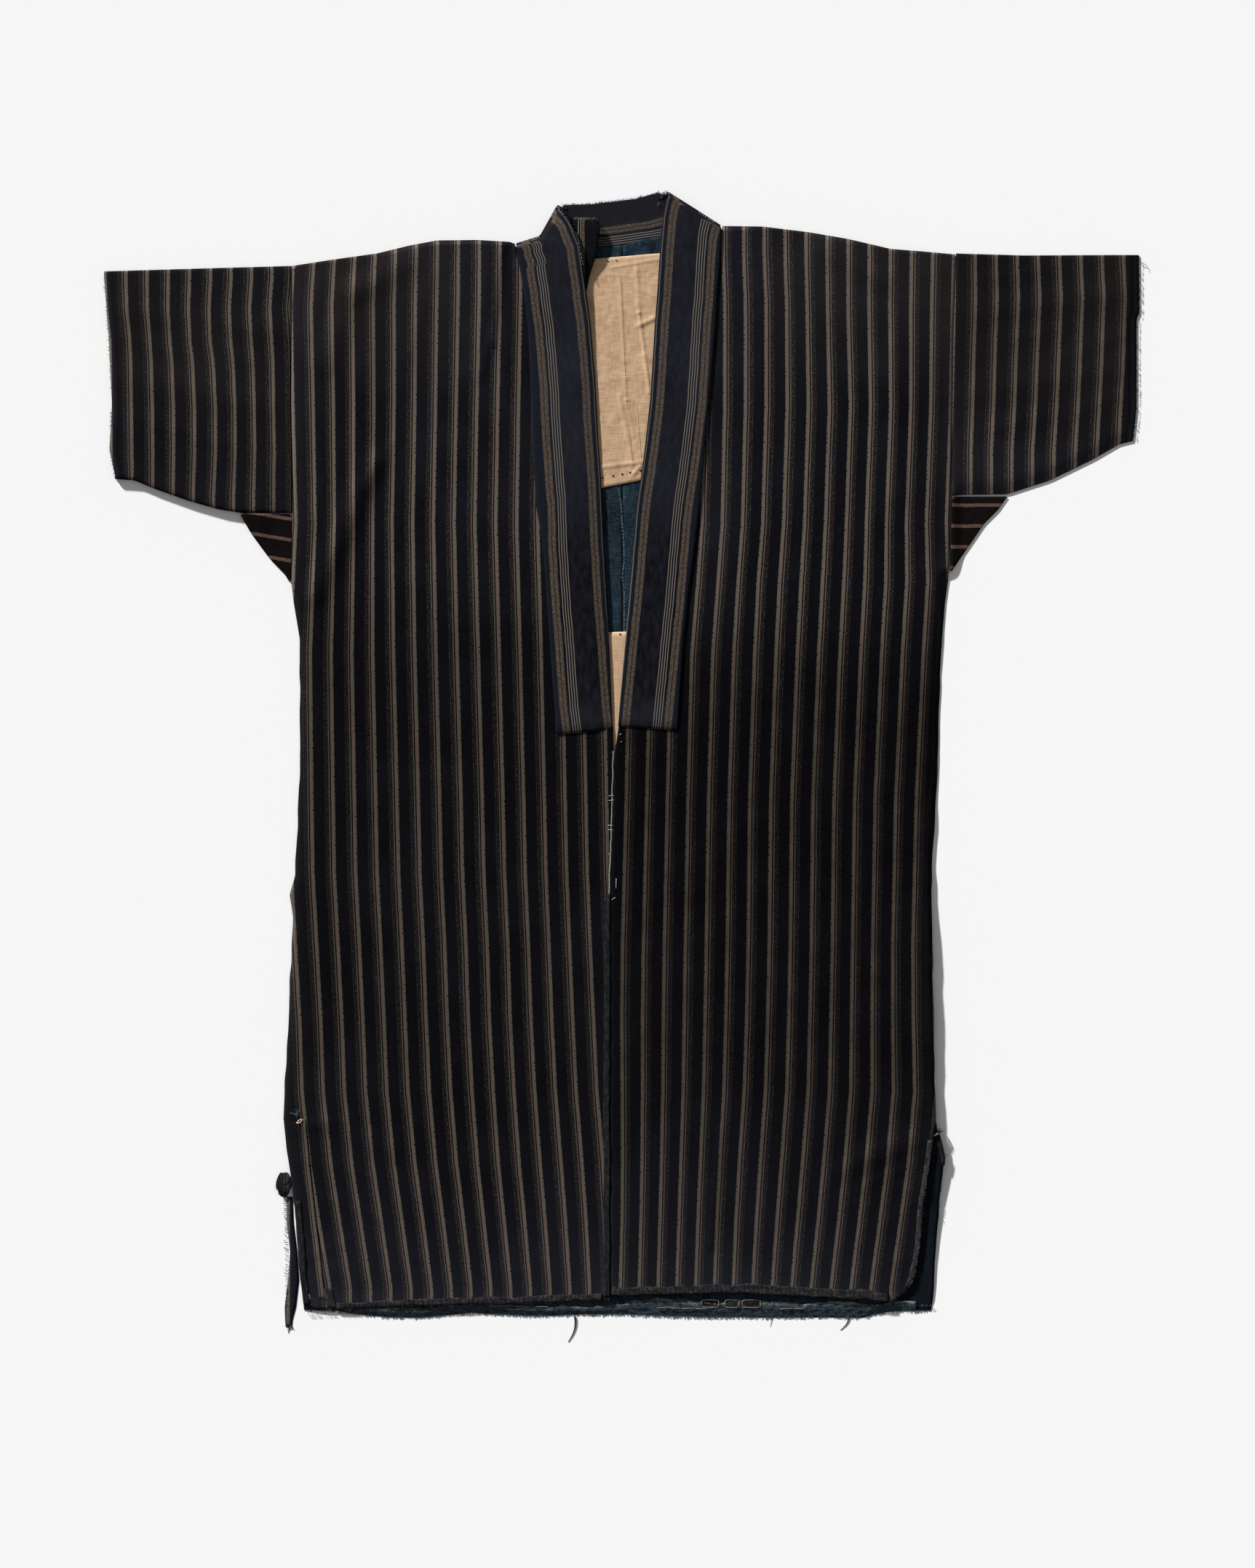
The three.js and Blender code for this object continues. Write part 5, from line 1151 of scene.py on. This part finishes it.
print("Linings, patches and turned edges")
for side in ("left", "right"):
    pieces[f"lining_{side}"] = backLining(side)
wavy = lambda x, y: 0.35 * (1 + softNoise(x, y, 18, 71)) / 2
crinkled = lambda x, y: 0.16 * softNoise(x, y * 0.6, 5, 73) + 0.1 * softNoise(x * 0.6, y, 2.6, 74)
patchRelief = lambda x, y: foldRelief(x, y, patchCreases) + wavy(x, y) + crinkled(x, y)
pieces["yoke_patch"] = flatPiece("yoke_patch_cloth", yokePatch, levels["patch"], thickness["lining"],
                                 patchRelief, spacing=flatWork["fine"])
pieces["lower_patch"] = flatPiece("lower_patch_cloth", lowerPatch, levels["patch"], thickness["lining"], wavy)
pieces["collar_flap"] = flatPiece("collar_flap_cloth", collarFlap, levels["flap"], thickness["lining"], wavy,
                                  spacing=flatWork["fine"])
tornMarks = {"fade": (0.2, 0.2), "brown": (0, 0), "inside": (0.3, 0.3), "deep": (0, 0)}
pieces["torn_strip"] = flatPiece("torn_strip_cloth", tornStrip, levels["back"], cloth, marks=tornMarks)
pieces["torn_knot"] = tornKnot()
for name in strips:
    pieces[name] = frontStrip(name)
pieces["hem_back"] = turnedBackHem()
pieces["vent_pleat"] = ventPleat()
onTop = lambda x, y: frontHeight(x, y) + cloth / 2 + darnedBit["above"]
pieces["darned_bit"] = flatPiece("darned_bit_cloth", darnedBit["rows"], 0.0, darnedBit["thick"], onTop,
                                 marks={"worn": (darnedBit["worn"],) * 2}, spacing=flatWork["fine"])
onEdge = lambda x, y: tornBit["crinkle"] * (1 + softNoise(x, y, 5, 72)) + tornBit["follow"] * edgeRise(x, y)
pieces["torn_bit"] = flatPiece("torn_bit_cloth", tornBit["rows"], tornBit["level"], thickness["lining"],
                               onEdge, marks={"worn": (tornBit["worn"],) * 2})


collarColours = {
    "navyBlue": (22, 25, 33), "line": (112, 104, 94), "tan": (104, 92, 80),
    "tanDark": (40, 31, 27), "plain": (14, 14, 18), "bloom": (33, 34, 42), "turned": (31, 28, 29),
    "rubbed": (46, 47, 57),
}
# Lines along the band by distance from its free edge, nought outside and below nought on the inner face
collarLines = {
    "band": {"tans": [(7.9, 1.55), (12.1, 1.55), (50.2, 1.55), (54.4, 1.55), (-26.0, 1.3), (-29.8, 1.3)],
             "thins": [37.8, 40.3, 42.8, 45.3, -42.2, -39.8, -37.4, -35.0], "blues": [(1.2, 3.2), (60, 3.5)],
             "bloom": 1.0},
    "flap": {"tans": [(-38.2, 1.1)], "thins": [-43.0, -40.6], "blues": [], "bloom": 0.15},
}


def collarCotton(name, lines):
    # Stripes along the band, by distance from its free edge; past the fold the inner face has its own
    shade = Shade(name)
    colour = {key: linear(value) for key, value in collarColours.items()}
    fine = speckle(shade, 0.7, 2.0)
    coarse = speckle(shade, 5.0, 14.0, 3.1)
    wander = (shade.noise(shade.vector(0.0, shade.along / 22), 1.0, 1.0) - 0.5) * 1.0
    d = shade.across + wander
    base = shade.blend(shade.clamp((coarse - 0.4) * 2.0) * lines["bloom"], colour["plain"], colour["bloom"])
    base = shade.blend(shade.mark("rubbed"), base, colour["rubbed"])
    for centre, half in lines["blues"]:
        base = shade.blend(d.band(centre, half, 2.5) * 0.8, base, colour["navyBlue"])
    mottle = shade.clamp(fine * 1.9 - 0.45)
    tan = shade.blend(mottle, colour["tanDark"], colour["tan"])
    dash = shade.clamp((shade.noise(shade.vector(d / 2, shade.along / 3.0), 1.0, 1.0) - 0.44) * 9)
    for centre, half in lines["tans"]:
        base = shade.blend(d.band(centre, half, 0.4) * (0.6 + dash * 0.4), base, tan)
    for centre in lines["thins"]:
        base = shade.blend(d.band(centre, 0.33, 0.2) * 0.9, base, colour["line"])
    # a faint line of sewing beside the edge
    base = shade.blend(d.band(1.9, 0.35, 0.3) * 0.5, base, colour["line"])
    turned = shade.blend(mottle * 0.5, colour["turned"], colour["plain"])
    base = shade.blend(shade.mark("plain"), base, turned)
    height = threads(shade) * 0.6 + fine * 0.4
    return shade.finish(base, 0.92, height, 0.45, 0.0003)


liningColours = {"deep": (20, 28, 36), "blue": (31, 45, 56), "pale": (58, 74, 84), "dark": (14, 18, 23),
                 "hem": (62, 74, 80)}


def indigoLining():
    # Worn indigo cotton: broad faded clouds, a fine crossed grain, pale specks, darker soil and a faded hem
    shade = Shade("indigoLining")
    colour = {key: linear(value) for key, value in liningColours.items()}
    clouds = shade.noise(shade.vector(shade.across / 22, shade.along / 34), 1.0, 4.0, 0.6)
    warp = shade.noise(shade.vector(shade.across / 1.6, shade.along / 9), 1.0, 2.0)
    weft = shade.noise(shade.vector(shade.across / 9, shade.along / 1.6, 2.0), 1.0, 2.0)
    base = shade.blend(shade.clamp((clouds - 0.36) * 3.4), colour["deep"], colour["blue"])
    base = shade.blend(shade.clamp((warp + weft - 0.95) * 4) * 0.4, base, colour["pale"])
    soil = shade.noise(shade.vector(shade.across / 11 + 5, shade.along / 15), 1.0, 3.0)
    base = shade.blend(shade.clamp((soil - 0.55) * 5) * 0.75, base, colour["dark"])
    nearHem = shade.clamp((16 - shade.along) / 8)
    base = shade.blend(nearHem * shade.clamp(warp * 3 - 0.6), base, colour["hem"])
    return shade.finish(base, 0.95, threads(shade) * 0.4 + (warp + weft) * 0.5, 0.5, 0.0004)


patchColours = {"tan": (190, 158, 127), "light": (207, 176, 145), "shade": (168, 136, 106),
                "stain": (146, 112, 82)}


def tanPatch():
    # Coarse hemp: uneven warp and weft threads, slubs and a few soft stains
    shade = Shade("tanPatch")
    colour = {key: linear(value) for key, value in patchColours.items()}
    warp = shade.noise(shade.vector(shade.across / 0.9, shade.along / 14), 1.0, 2.0)
    weft = shade.noise(shade.vector(shade.across / 14, shade.along / 0.9, 4.0), 1.0, 2.0)
    base = shade.blend(shade.clamp((warp + weft - 1.0) * 2.4 + 0.5), colour["shade"], colour["light"])
    base = shade.blend(0.45, base, colour["tan"])
    stain = shade.noise(shade.vector(shade.across / 18, shade.along / 24, 9.0), 1.0, 3.0)
    base = shade.blend(shade.clamp((stain - 0.58) * 5) * 0.55, base, colour["stain"])
    height = threads(shade) * 0.4 + warp * 0.6 + weft * 0.6
    return shade.finish(base, 0.95, height, 0.55, 0.0004)


hemColours = {"grey": (62, 61, 62), "brown": (68, 62, 57), "pale": (98, 94, 89), "dark": (20, 20, 23)}


def fadedHem():
    # A turned edge, worn by its mark, with dark nicks across the hems as painted shade of thin creases
    shade = Shade("fadedHem")
    colour = {key: linear(value) for key, value in hemColours.items()}
    cloud = shade.noise(shade.vector(shade.across / 4, shade.along / 9), 1.0, 4.0, 0.65)
    grain = shade.noise(shade.vector(shade.across / 6, shade.along / 1.1), 1.0, 2.0)
    worn = shade.clamp((cloud - 0.34) * 3) * shade.mark("worn")
    base = shade.blend(worn, colour["dark"], colour["grey"])
    base = shade.blend(shade.clamp((cloud - 0.52) * 6) * shade.mark("worn"), base, colour["brown"])
    wander = shade.noise(shade.vector(shade.across / 5, shade.along / 9, 3.0), 1.0, 1.0) * 1.5
    # dark nicks across the hem: painted shade of thin creases
    ticks = (shade.along / 4.6 + wander).fraction().band(0.5, 0.1, 0.06) * shade.mark("ticks")
    base = shade.blend(ticks * 0.75, base, colour["dark"])
    base = shade.blend(shade.clamp((grain - 0.6) * 7) * shade.mark("worn") * 0.4, base, colour["pale"])
    base = shade.blend(shade.clamp((grain - 0.55) * 6) * 0.5, base, colour["dark"])
    return shade.finish(base, 0.95, grain, 0.5, 0.0004)


wornColours = {"deep": (27, 33, 40), "slate": (62, 76, 85), "pale": (108, 116, 112), "teal": (104, 121, 119),
               "rust": (98, 70, 54), "slot": (22, 15, 14)}


def wornHem():
    # Felted slate-blue fold of the back hem, its upper rim worn to pale teal and rust; the teal on the rim is
    # partly a painted highlight on the fold's top
    shade = Shade("wornHem")
    colour = {key: linear(value) for key, value in wornColours.items()}
    cloud = shade.noise(shade.vector(shade.across / 3, shade.along / 7), 1.0, 4.0, 0.7)
    specks = speckle(shade, 0.9, 1.3)
    patches = shade.noise(shade.vector(shade.across / 6, shade.along / 26, 5.0), 1.0, 2.0)
    base = shade.blend(shade.clamp((cloud - 0.4) * 4), colour["deep"], colour["slate"])
    base = shade.blend(shade.clamp((specks - 0.55) * 7) * 0.5, base, colour["pale"])
    rim = shade.mark("rim")
    # the teal on the upper rim is partly worn cloth and partly a painted highlight on the fold's top
    base = shade.blend(rim * shade.clamp((cloud + patches - 0.98) * 5), base, colour["teal"])
    base = shade.blend(rim * shade.clamp((0.86 - patches - specks * 0.8) * 6), base, colour["rust"])
    base = shade.blend(shade.mark("slot") * 0.9, base, colour["slot"])
    return shade.finish(base, 0.95, specks, 0.6, 0.0005)


def threadFinish(name, colour, second):
    # A thread's own two tones, drifting along it
    shade = Shade(name)
    tone = shade.noise(shade.place, 900.0, 2.0)
    base = shade.blend(shade.clamp((tone - 0.35) * 3), linear(colour), linear(second))
    return shade.finish(base, 0.9, tone, 0.3, 0.0001)


print("Cloth finishes")
ownFinish = {"collar_flap": collarCotton("flapCotton", collarLines["flap"]), "hem_back": wornHem()}
finishes = {
    "striped_cotton": stripedCotton("stripedCotton"),
    "brown_gusset": brownGusset(),
    "collar_cotton": collarCotton("collarCotton", collarLines["band"]),
    "indigo_lining": indigoLining(),
    "tan_patch": tanPatch(),
    "faded_hem": fadedHem(),
}
slots = {
    "striped_cotton": ["body_left", "body_right", "sleeve_left", "sleeve_right", "torn_strip", "torn_knot",
                       "vent_pleat"],
    "brown_gusset": ["gusset_left", "gusset_right"],
    "collar_cotton": ["collar_left", "collar_right", "collar_flap"],
    "indigo_lining": ["lining_left", "lining_right", "hem_back"],
    "tan_patch": ["yoke_patch", "lower_patch"],
    "faded_hem": [*strips, "torn_bit", "darned_bit"],
}
freeCloth = ("hem_back", "vent_pleat", "torn_bit", "darned_bit")
for slotName, nodes in slots.items():
    for node in nodes:
        piece = pieces[node]
        piece.data.materials.append(ownFinish.get(node, finishes[slotName]))
        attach(piece, "root")
        if node not in freeCloth:
            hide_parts(node)


# Threads: stitches, worn edges and frays, each group one joined mesh
threadSteps = 7
threadTaper = 0.7


def threadMesh(name, paths, radius, taper):
    # A four-sided ring carried along every path of an array of (threads, points, 3), thinner at its far end
    count, steps = paths.shape[:2]
    ahead = np.gradient(paths, axis=1)
    ahead /= np.maximum(np.linalg.norm(ahead, axis=2, keepdims=True), 1e-9)
    aside = np.cross(ahead, [0.02, 0.01, 1.0])
    aside /= np.maximum(np.linalg.norm(aside, axis=2, keepdims=True), 1e-9)
    over = np.cross(aside, ahead)
    wide = np.broadcast_to(radius, (count,))[:, None] * np.linspace(1.0, taper, steps)[None, :]
    turn = np.arange(4) * np.pi / 2
    ring = aside[:, :, None] * np.cos(turn)[:, None] + over[:, :, None] * np.sin(turn)[:, None]
    co = paths[:, :, None] + ring * wide[:, :, None, None]
    co[..., 2] = np.maximum(co[..., 2], 0.02)
    spot = lambda t, s, k: (t * steps + s) * 4 + k % 4
    t, s, k = np.meshgrid(np.arange(count), np.arange(steps - 1), np.arange(4), indexing="ij")
    sides = np.stack([spot(t, s, k), spot(t, s, k + 1), spot(t, s + 1, k + 1), spot(t, s + 1, k)], 3)
    thread, corner = np.arange(count)[:, None], np.arange(4)[None, :]
    ends = [spot(thread, 0, corner)[:, ::-1], spot(thread, steps - 1, corner)]
    faces = np.concatenate([sides.reshape(-1, 4), *ends])
    flat = co.reshape(-1, 3)
    if signedVolume(flat, faces) < 0:
        faces = faces[:, ::-1]
    return makeMesh(name, flat, faces)


def bent(start, middle, end, steps=threadSteps):
    # A parabola from start to end, drawn towards the middle point
    t = np.linspace(0, 1, steps)[None, :, None]
    a, b, c = (np.asarray(p, float).reshape(-1, 1, 3) for p in (start, middle, end))
    return a * (1 - t) ** 2 + 2 * b * t * (1 - t) + c * t ** 2


# How uneven the sewing is: its places as a share of the pitch, its lengths, and its turns in radians
sewing = {"place": 0.12, "length": 0.2, "turn": 0.12}


def stitches(start, end, pitch, length, lift, height, seed, slant=0.0):
    # Short stitches along a line, each an arch over the cloth, uneven in place and length
    rng = np.random.default_rng(seed)
    start, end = np.array(start, float), np.array(end, float)
    reach = np.linalg.norm(end - start)
    ahead = (end - start) / reach
    aside = np.array([-ahead[1], ahead[0]])
    at = np.arange(pitch / 2, reach, pitch)
    at = at + rng.uniform(-sewing["place"], sewing["place"], len(at)) * pitch
    half = length / 2 * rng.uniform(1 - sewing["length"], 1 + sewing["length"], len(at))
    turn = np.radians(slant) + rng.uniform(-sewing["turn"], sewing["turn"], len(at))
    way = np.cos(turn)[:, None] * ahead + np.sin(turn)[:, None] * aside
    middle = start + at[:, None] * ahead
    first, last = middle - way * half[:, None], middle + way * half[:, None]
    level = lambda spots, rise: np.column_stack([spots, height(spots[:, 0], spots[:, 1]) + rise])
    return bent(level(first, 0), level(middle, 2 * lift), level(last, 0))


# A fibre's turns in radians, its shortest share of the length, how the lengths favour short ones, and its sag
fibre = {"spread": 0.7, "bend": 1.0, "shortest": 0.25, "favour": 1.5, "rise": 0.2, "sag": 0.7}


def frays(xs, ys, outward, z, count, length, seed):
    # Fibres that leave an edge at random places, bend as they go and come down to the floor
    rng = np.random.default_rng(seed)
    step = np.concatenate([[0], np.cumsum(np.hypot(np.diff(xs), np.diff(ys)))])
    at = rng.uniform(0, step[-1], count)
    x, y = np.interp(at, step, xs), np.interp(at, step, ys)
    heading = np.arctan2(outward[1], outward[0]) + rng.uniform(-fibre["spread"], fibre["spread"], count)
    bend = heading + rng.uniform(-fibre["bend"], fibre["bend"], count)
    long = length * rng.uniform(fibre["shortest"], 1.0, count) ** fibre["favour"]
    start = np.column_stack([x, y, np.full(count, z)])
    onward = lambda angle, rise: np.column_stack([np.cos(angle) * long / 2, np.sin(angle) * long / 2,
                                                  np.full(count, rise)])
    middle = start + onward(heading, fibre["rise"])
    return bent(start, middle, middle + onward(bend, -z * fibre["sag"]))


onPatch = lambda x, y: levels["patch"] + 0.55 + patchRelief(x, y)
onLining = lambda x, y: levels["lining"] + 0.6 + liningRelief(x, y)
onFront = lambda x, y: frontHeight(x, y) + cloth / 2
onHem = lambda x, y: hemBack["level"] + 0.8 + 0 * x


def edgeOf(rows, column, low, high, count=60):
    # Points along one edge of a table between two heights
    y = np.linspace(low, high, count)
    return readTable(rows, column + "Y", column + "X", y), y


def cuffOf(side):
    cuff = sleeveShape[side]["cuffX"]
    return cuff["x"], cuff["y"]


def innerEdge(fromY, toY, inset, lift):
    # The worn pale line along the left front's opening edge
    x, y = edgeOf(frontRows["left"], "inner", toY, fromY)
    x = x - inset + 0.35 * softNoise(y, 0 * y, 6, 81)
    return np.column_stack([x, y, frontHeight(x, y) + cloth / 2 + lift])[None]


print("Threads")
backHemX = np.linspace(-318, 311, 200)
backHemY = lowEdge(backHemX)
rimX = backHemX[10:-8]
collarTopX = np.array([-63, -47, -31, -17.5, 0, 6.5, 13, 28.5, 37])
collarTopY = np.array([1115.5, 1116.5, 1117, 1118.5, 1120.5, 1121.5, 1122, 1126.5, 1128.5])
# Where the worn running thread of the back hem shows, along x, and its pitch; how far it lies from the edge
hemRuns = [(-154, -69, 16.2), (33, 80, 13.4), (160, 182, 12.0)]
hemRunY = 8.6
# White stitches on the fronts: from, to and how far they bow upwards, and their arch over the cloth
frontStitches = [(-12.6, 523, -7.6, 523.8, 0.4), (-12.6, 518.6, -7.6, 519.2, -0.3),
                 (-13.4, 493.6, -8.2, 493, 0.5), (-13.4, 489.4, -8.2, 488.6, 0.2),
                 (-13, 464.8, -10.4, 464, 0.3), (-5.3, 440.2, -5.5, 430, 0.2),
                 (-6.1, 421.2, -9.7, 419, 0.3), (-2.2, 584.2, 0, 585.6, 0.2),
                 (-0.8, 577.4, 0.3, 577.6, 0), (-313.5, 23.5, -312, 17.5, 2)]
stitchArch = np.array([0.1, 0.5, 0.9, 1.0, 0.9, 0.5, 0.1]) * 0.6
# The hand sewn seam of the lining below the patch, and how its two rows of stitches slant
liningSeam = [(-3.1, 832), (-0.2, 816), (0.5, 800), (2.3, 779), (3.1, 761), (0.9, 743), (3.1, 728.5),
              (3.1, 687)]
seamSlants = (34, -26)
threadGroups = {
    "dark_stitches": {
        "colours": [(16, 15, 20), (30, 28, 34)], "slot": "striped_cotton", "radius": 0.55,
        "paths": [stitches((-23.2, 841.5), (23.7, 850.6), 9.4, 1.9, 0.3, onPatch, 91),
                  stitches((-19, 1059.2), (1, 1060.9), 10.0, 1.4, 0.3, onPatch, 92),
                  stitches((-7, 685.5), (2, 685.5), 9.0, 2.0, 0.3, onPatch, 93)]},
    "patch_threads": {
        "colours": [(104, 78, 58), (134, 106, 82)], "slot": "tan_patch", "radius": 0.2,
        "paths": [stitches((-0.2, 1043), (4.9, 919.8), 2.3, 1.1, 0.1, onPatch, 94),
                  stitches((4.9, 919.8), (11.5, 858), 2.3, 1.1, 0.1, onPatch, 95),
                  stitches((15.8, 913), (20.2, 858.5), 2.4, 1.3, 0.1, onPatch, 96)]},
    "lining_stitches": {
        "colours": [(58, 80, 92), (104, 122, 130)], "slot": "indigo_lining", "radius": 0.27,
        "paths": [stitches(spot, after, 3.4, 3.4, 0.2, onLining, 98 + i, slant)
                  for i, (spot, after) in enumerate(zip(liningSeam[:-1], liningSeam[1:]))
                  for slant in seamSlants]},
    "pale_threads": {
        "colours": [(120, 116, 104), (164, 158, 142)], "slot": "striped_cotton", "radius": 0.5,
        "paths": [innerEdge(568, 424, 0.6, 0.2), innerEdge(568, 424, 0.1, 0.0)]},
    "white_stitches": {
        "colours": [(150, 146, 134), (196, 190, 178)], "slot": "striped_cotton", "radius": 0.32,
        "arch": stitchArch,
        "paths": [bent([(ax, ay, 0)], [((ax + bx) / 2, (ay + by) / 2 + bow, 0)], [(bx, by, 0)])
                  for ax, ay, bx, by, bow in frontStitches]},
    "tan_hem_stitches": {
        "colours": [(122, 96, 76), (104, 122, 120)], "slot": "tan_patch", "radius": 0.42,
        "paths": [stitches((a, lowEdge(a) + hemRunY), (b, lowEdge(b) + hemRunY), pitch, pitch * 0.94, 0.3,
                           onHem, 100 + i)
                  for i, (a, b, pitch) in enumerate(hemRuns)]
                 + [bent([(ax, ay, loopShape["level"])], [((ax + bx) / 2 + wide, (ay + by) / 2 + high, 3.5)],
                         [(bx, by, loopShape["level"])])
                    for left, right in hemLoops
                    for ax, ay, bx, by, wide, high in [
                        (left, loopShape["high"], right, loopShape["high"], 0, 1.2),
                        (left, loopShape["low"], right, loopShape["low"], 0, -1.0),
                        (left, loopShape["high"], left, loopShape["low"], -1.4, 0),
                        (right, loopShape["high"], right, loopShape["low"], 1.4, 0)]]},
    "white_loop": {
        "colours": [(232, 222, 206), (206, 150, 98)], "slot": "striped_cotton", "radius": 0.38,
        "paths": [bent([(-326, 195.6, 7.2), (-325.4, 195.2, 6.6)], [(-322, 193.4, 7.9), (-321.4, 200.5, 7.4)],
                       [(-320, 199.3, 7.0), (-320.2, 198.6, 7.0)])]},
    "blue_frays": {
        "colours": [(48, 62, 72), (78, 94, 102)], "slot": "indigo_lining", "radius": 0.2,
        "paths": [frays(backHemX, backHemY + 0.8, (0, -1), 0.5, 1400, 4.0, 111),
                  frays(backHemX, backHemY + hemWidth(backHemX) * 0.55, (0.3, 1), 2.7, 700, 2.4, 112),
                  frays(collarTopX, collarTopY, (0, 1), 1.6, 190, 2.6, 113),
                  frays([-57, -50, -47], [1110, 1088, 1040], (1, 0.1), 7.0, 40, 3.0, 114),
                  frays([-48, -24], [1102, 1101.5], (0.2, 1), 8.5, 20, 3.0, 115),
                  frays([-336, -330], [206, 188], (-1, 0.2), 3.4, 30, 7.0, 116),
                  frays([-326, -323], [200, 206], (-0.5, 0.8), 8.0, 16, 11.0, 117),
                  frays([-40, -45, -54, -64], [1058, 1084, 1100, 1114], (0.8, 0.6), 13.2, 90, 4.0, 119)]},
    "rim_frays": {
        "colours": [(92, 106, 108), (140, 134, 118)], "slot": "indigo_lining", "radius": 0.2,
        "paths": [frays(rimX, lowEdge(rimX) + hemWidth(rimX), (0.3, 1), 2.9, 420, 2.2, 118),
                  frays([-38, -43, -53, -63], [1054, 1080, 1098, 1112], (-0.9, 0.2), 14.0, 70, 4.5, 120)]},
    "navy_frays": {
        "colours": [(18, 18, 24), (40, 40, 48)], "slot": "striped_cotton", "radius": 0.2,
        "paths": [frays(*cuffOf("left"), (-1, 0), 2.6, 130, 2.4, 121),
                  frays(*cuffOf("right"), (1, 0), 2.6, 150, 2.4, 122),
                  frays([-318, -207, -12], [8, 12, 17.5], (0, -1), 4.6, 260, 2.2, 123),
                  frays([-10, 105, 280], [24, 26, 21], (0, -1), 4.6, 260, 2.2, 124),
                  frays([-337, -334], [120, 0], (-1, -0.1), 1.0, 90, 4.0, 125),
                  frays([-336, -330.5], [-8, -9.5], (0, -1), 1.0, 16, 6.0, 126),
                  frays([-344, -334], [127, 140], (-0.6, 0.8), 4.0, 60, 5.0, 127),
                  frays([313, 319], [181, 186], (0.5, 0.8), 8.6, 60, 5.5, 128),
                  frays([324, 321], [165, 153], (0.9, -0.4), 6.6, 30, 4.0, 129),
                  frays([322, 317], [150, 100], (1, 0), 4.0, 40, 1.8, 130),
                  frays([37, 46], [1122, 1125], (0.1, 1), 3.0, 130, 6.0, 137),
                  frays([-65, -55], [1110, 1112], (0.2, 1), 3.0, 80, 5.0, 138)]},
    "grey_frays": {
        "colours": [(84, 78, 72), (126, 118, 106)], "slot": "faded_hem", "radius": 0.18,
        "paths": [frays(*edgeOf(frontRows["right"], "side", 34, 120), (1, 0), 6.2, 110, 2.6, 131),
                  frays(*edgeOf(frontRows["right"], "side", 120, 178), (1, 0), 9.4, 70, 2.6, 135),
                  frays([313, 318], [182, 184], (0.2, 0.9), 9.0, 26, 4.5, 136),
                  frays([36, 42, 46], [1112, 1126, 1129], (-0.6, 0.8), 4.0, 18, 4.0, 132),
                  frays([-48, -24], [1101, 1100.5], (0.4, 1), 9.6, 34, 4.0, 134),
                  frays(*edgeOf(frontRows["left"], "inner", 424, 575), (0.6, 0), 5.0, 60, 1.8, 133)]},
    "loose_threads": {
        "colours": [(34, 38, 44), (84, 86, 88)], "slot": "striped_cotton", "taper": 0.3,
        "radius": np.array([1.1, 0.75, 0.3, 0.5, 0.35]),
        "paths": [bent([(-47, 1, 0.9), (227.5, 1.5, 0.9), (520, 1059, 2.4), (-331, -8, 0.8), (150, 1, 0.8)],
                       [(-44, -12, 0.4), (229, -6, 0.4), (529, 1056, 1.6), (-336, -14, 0.4), (151, -4, 0.4)],
                       [(-53.5, -24.8, 0.3), (219.5, -13.1, 0.3), (529.8, 1048.3, 0.4), (-333.5, -16.8, 0.3),
                        (149, -9.5, 0.3)], 13)]},
}
for name, group in threadGroups.items():
    paths = np.concatenate(group["paths"])
    if "arch" in group:
        paths[..., 2] = onFront(paths[..., 0], paths[..., 1]) + group["arch"]
    mesh = threadMesh(name, paths, group["radius"], group.get("taper", threadTaper))
    mesh.data.materials.append(threadFinish(name, *group["colours"]))
    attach(mesh, "root")


# Tones and powers, angles in degrees, lengths in metres but the middle of the picture, in millimetres
stage = {"floor": 0.9, "floorSize": 12.0, "sky": 0.25,
         "sunPower": 7.1, "sunSoftness": 3.5, "sunHeight": 20.0, "sunTurn": 217.0,
         "distance": 6.0, "frameHeight": 1.5739, "middleX": 6.0, "middleY": 535.1}


def stageScene():
    # A pale floor, a soft sun from the upper left, an even white sky and a camera that looks straight down
    corners = np.array([(-1, -1, 0), (1, -1, 0), (1, 1, 0), (-1, 1, 0)], float) * stage["floorSize"] / 2
    mesh = bpy.data.meshes.new("floor")
    mesh.from_pydata([tuple(corner) for corner in corners], [], [(0, 1, 2, 3)])
    floor = bpy.data.objects.new("floor", mesh)
    bpy.context.scene.collection.objects.link(floor)
    material = bpy.data.materials.new("floorPaper")
    material.use_nodes = True
    shader = material.node_tree.nodes["Principled BSDF"]
    shader.inputs["Base Color"].default_value = (*[stage["floor"]] * 3, 1)
    shader.inputs["Roughness"].default_value = 1.0
    shader.inputs["Specular IOR Level"].default_value = 0.0
    mesh.materials.append(material)
    sun = bpy.data.lights.new("sun", "SUN")
    sun.energy, sun.angle = stage["sunPower"], np.radians(stage["sunSoftness"])
    lamp = bpy.data.objects.new("sun", sun)
    lamp.rotation_euler = (np.radians(90 - stage["sunHeight"]), 0, np.radians(stage["sunTurn"]))
    bpy.context.scene.collection.objects.link(lamp)
    world = bpy.data.worlds.new("sky")
    world.use_nodes = True
    world.node_tree.nodes["Background"].inputs[0].default_value = (1, 1, 1, 1)
    world.node_tree.nodes["Background"].inputs[1].default_value = stage["sky"]
    bpy.context.scene.world = world
    bpy.context.scene.view_settings.view_transform = "Standard"  # finishes are given as screen colours
    camera = bpy.data.objects.new("camera", bpy.data.cameras.new("camera"))
    camera.data.sensor_width = 36.0
    camera.data.lens = camera.data.sensor_width * stage["distance"] / stage["frameHeight"]
    middle = (stage["middleX"] + shiftX, stage["middleY"] + shiftY)
    camera.location = (middle[0] / 1000, middle[1] / 1000, stage["distance"])
    bpy.context.scene.collection.objects.link(camera)
    bpy.context.scene.camera = camera


stageScene()

print("Finished")
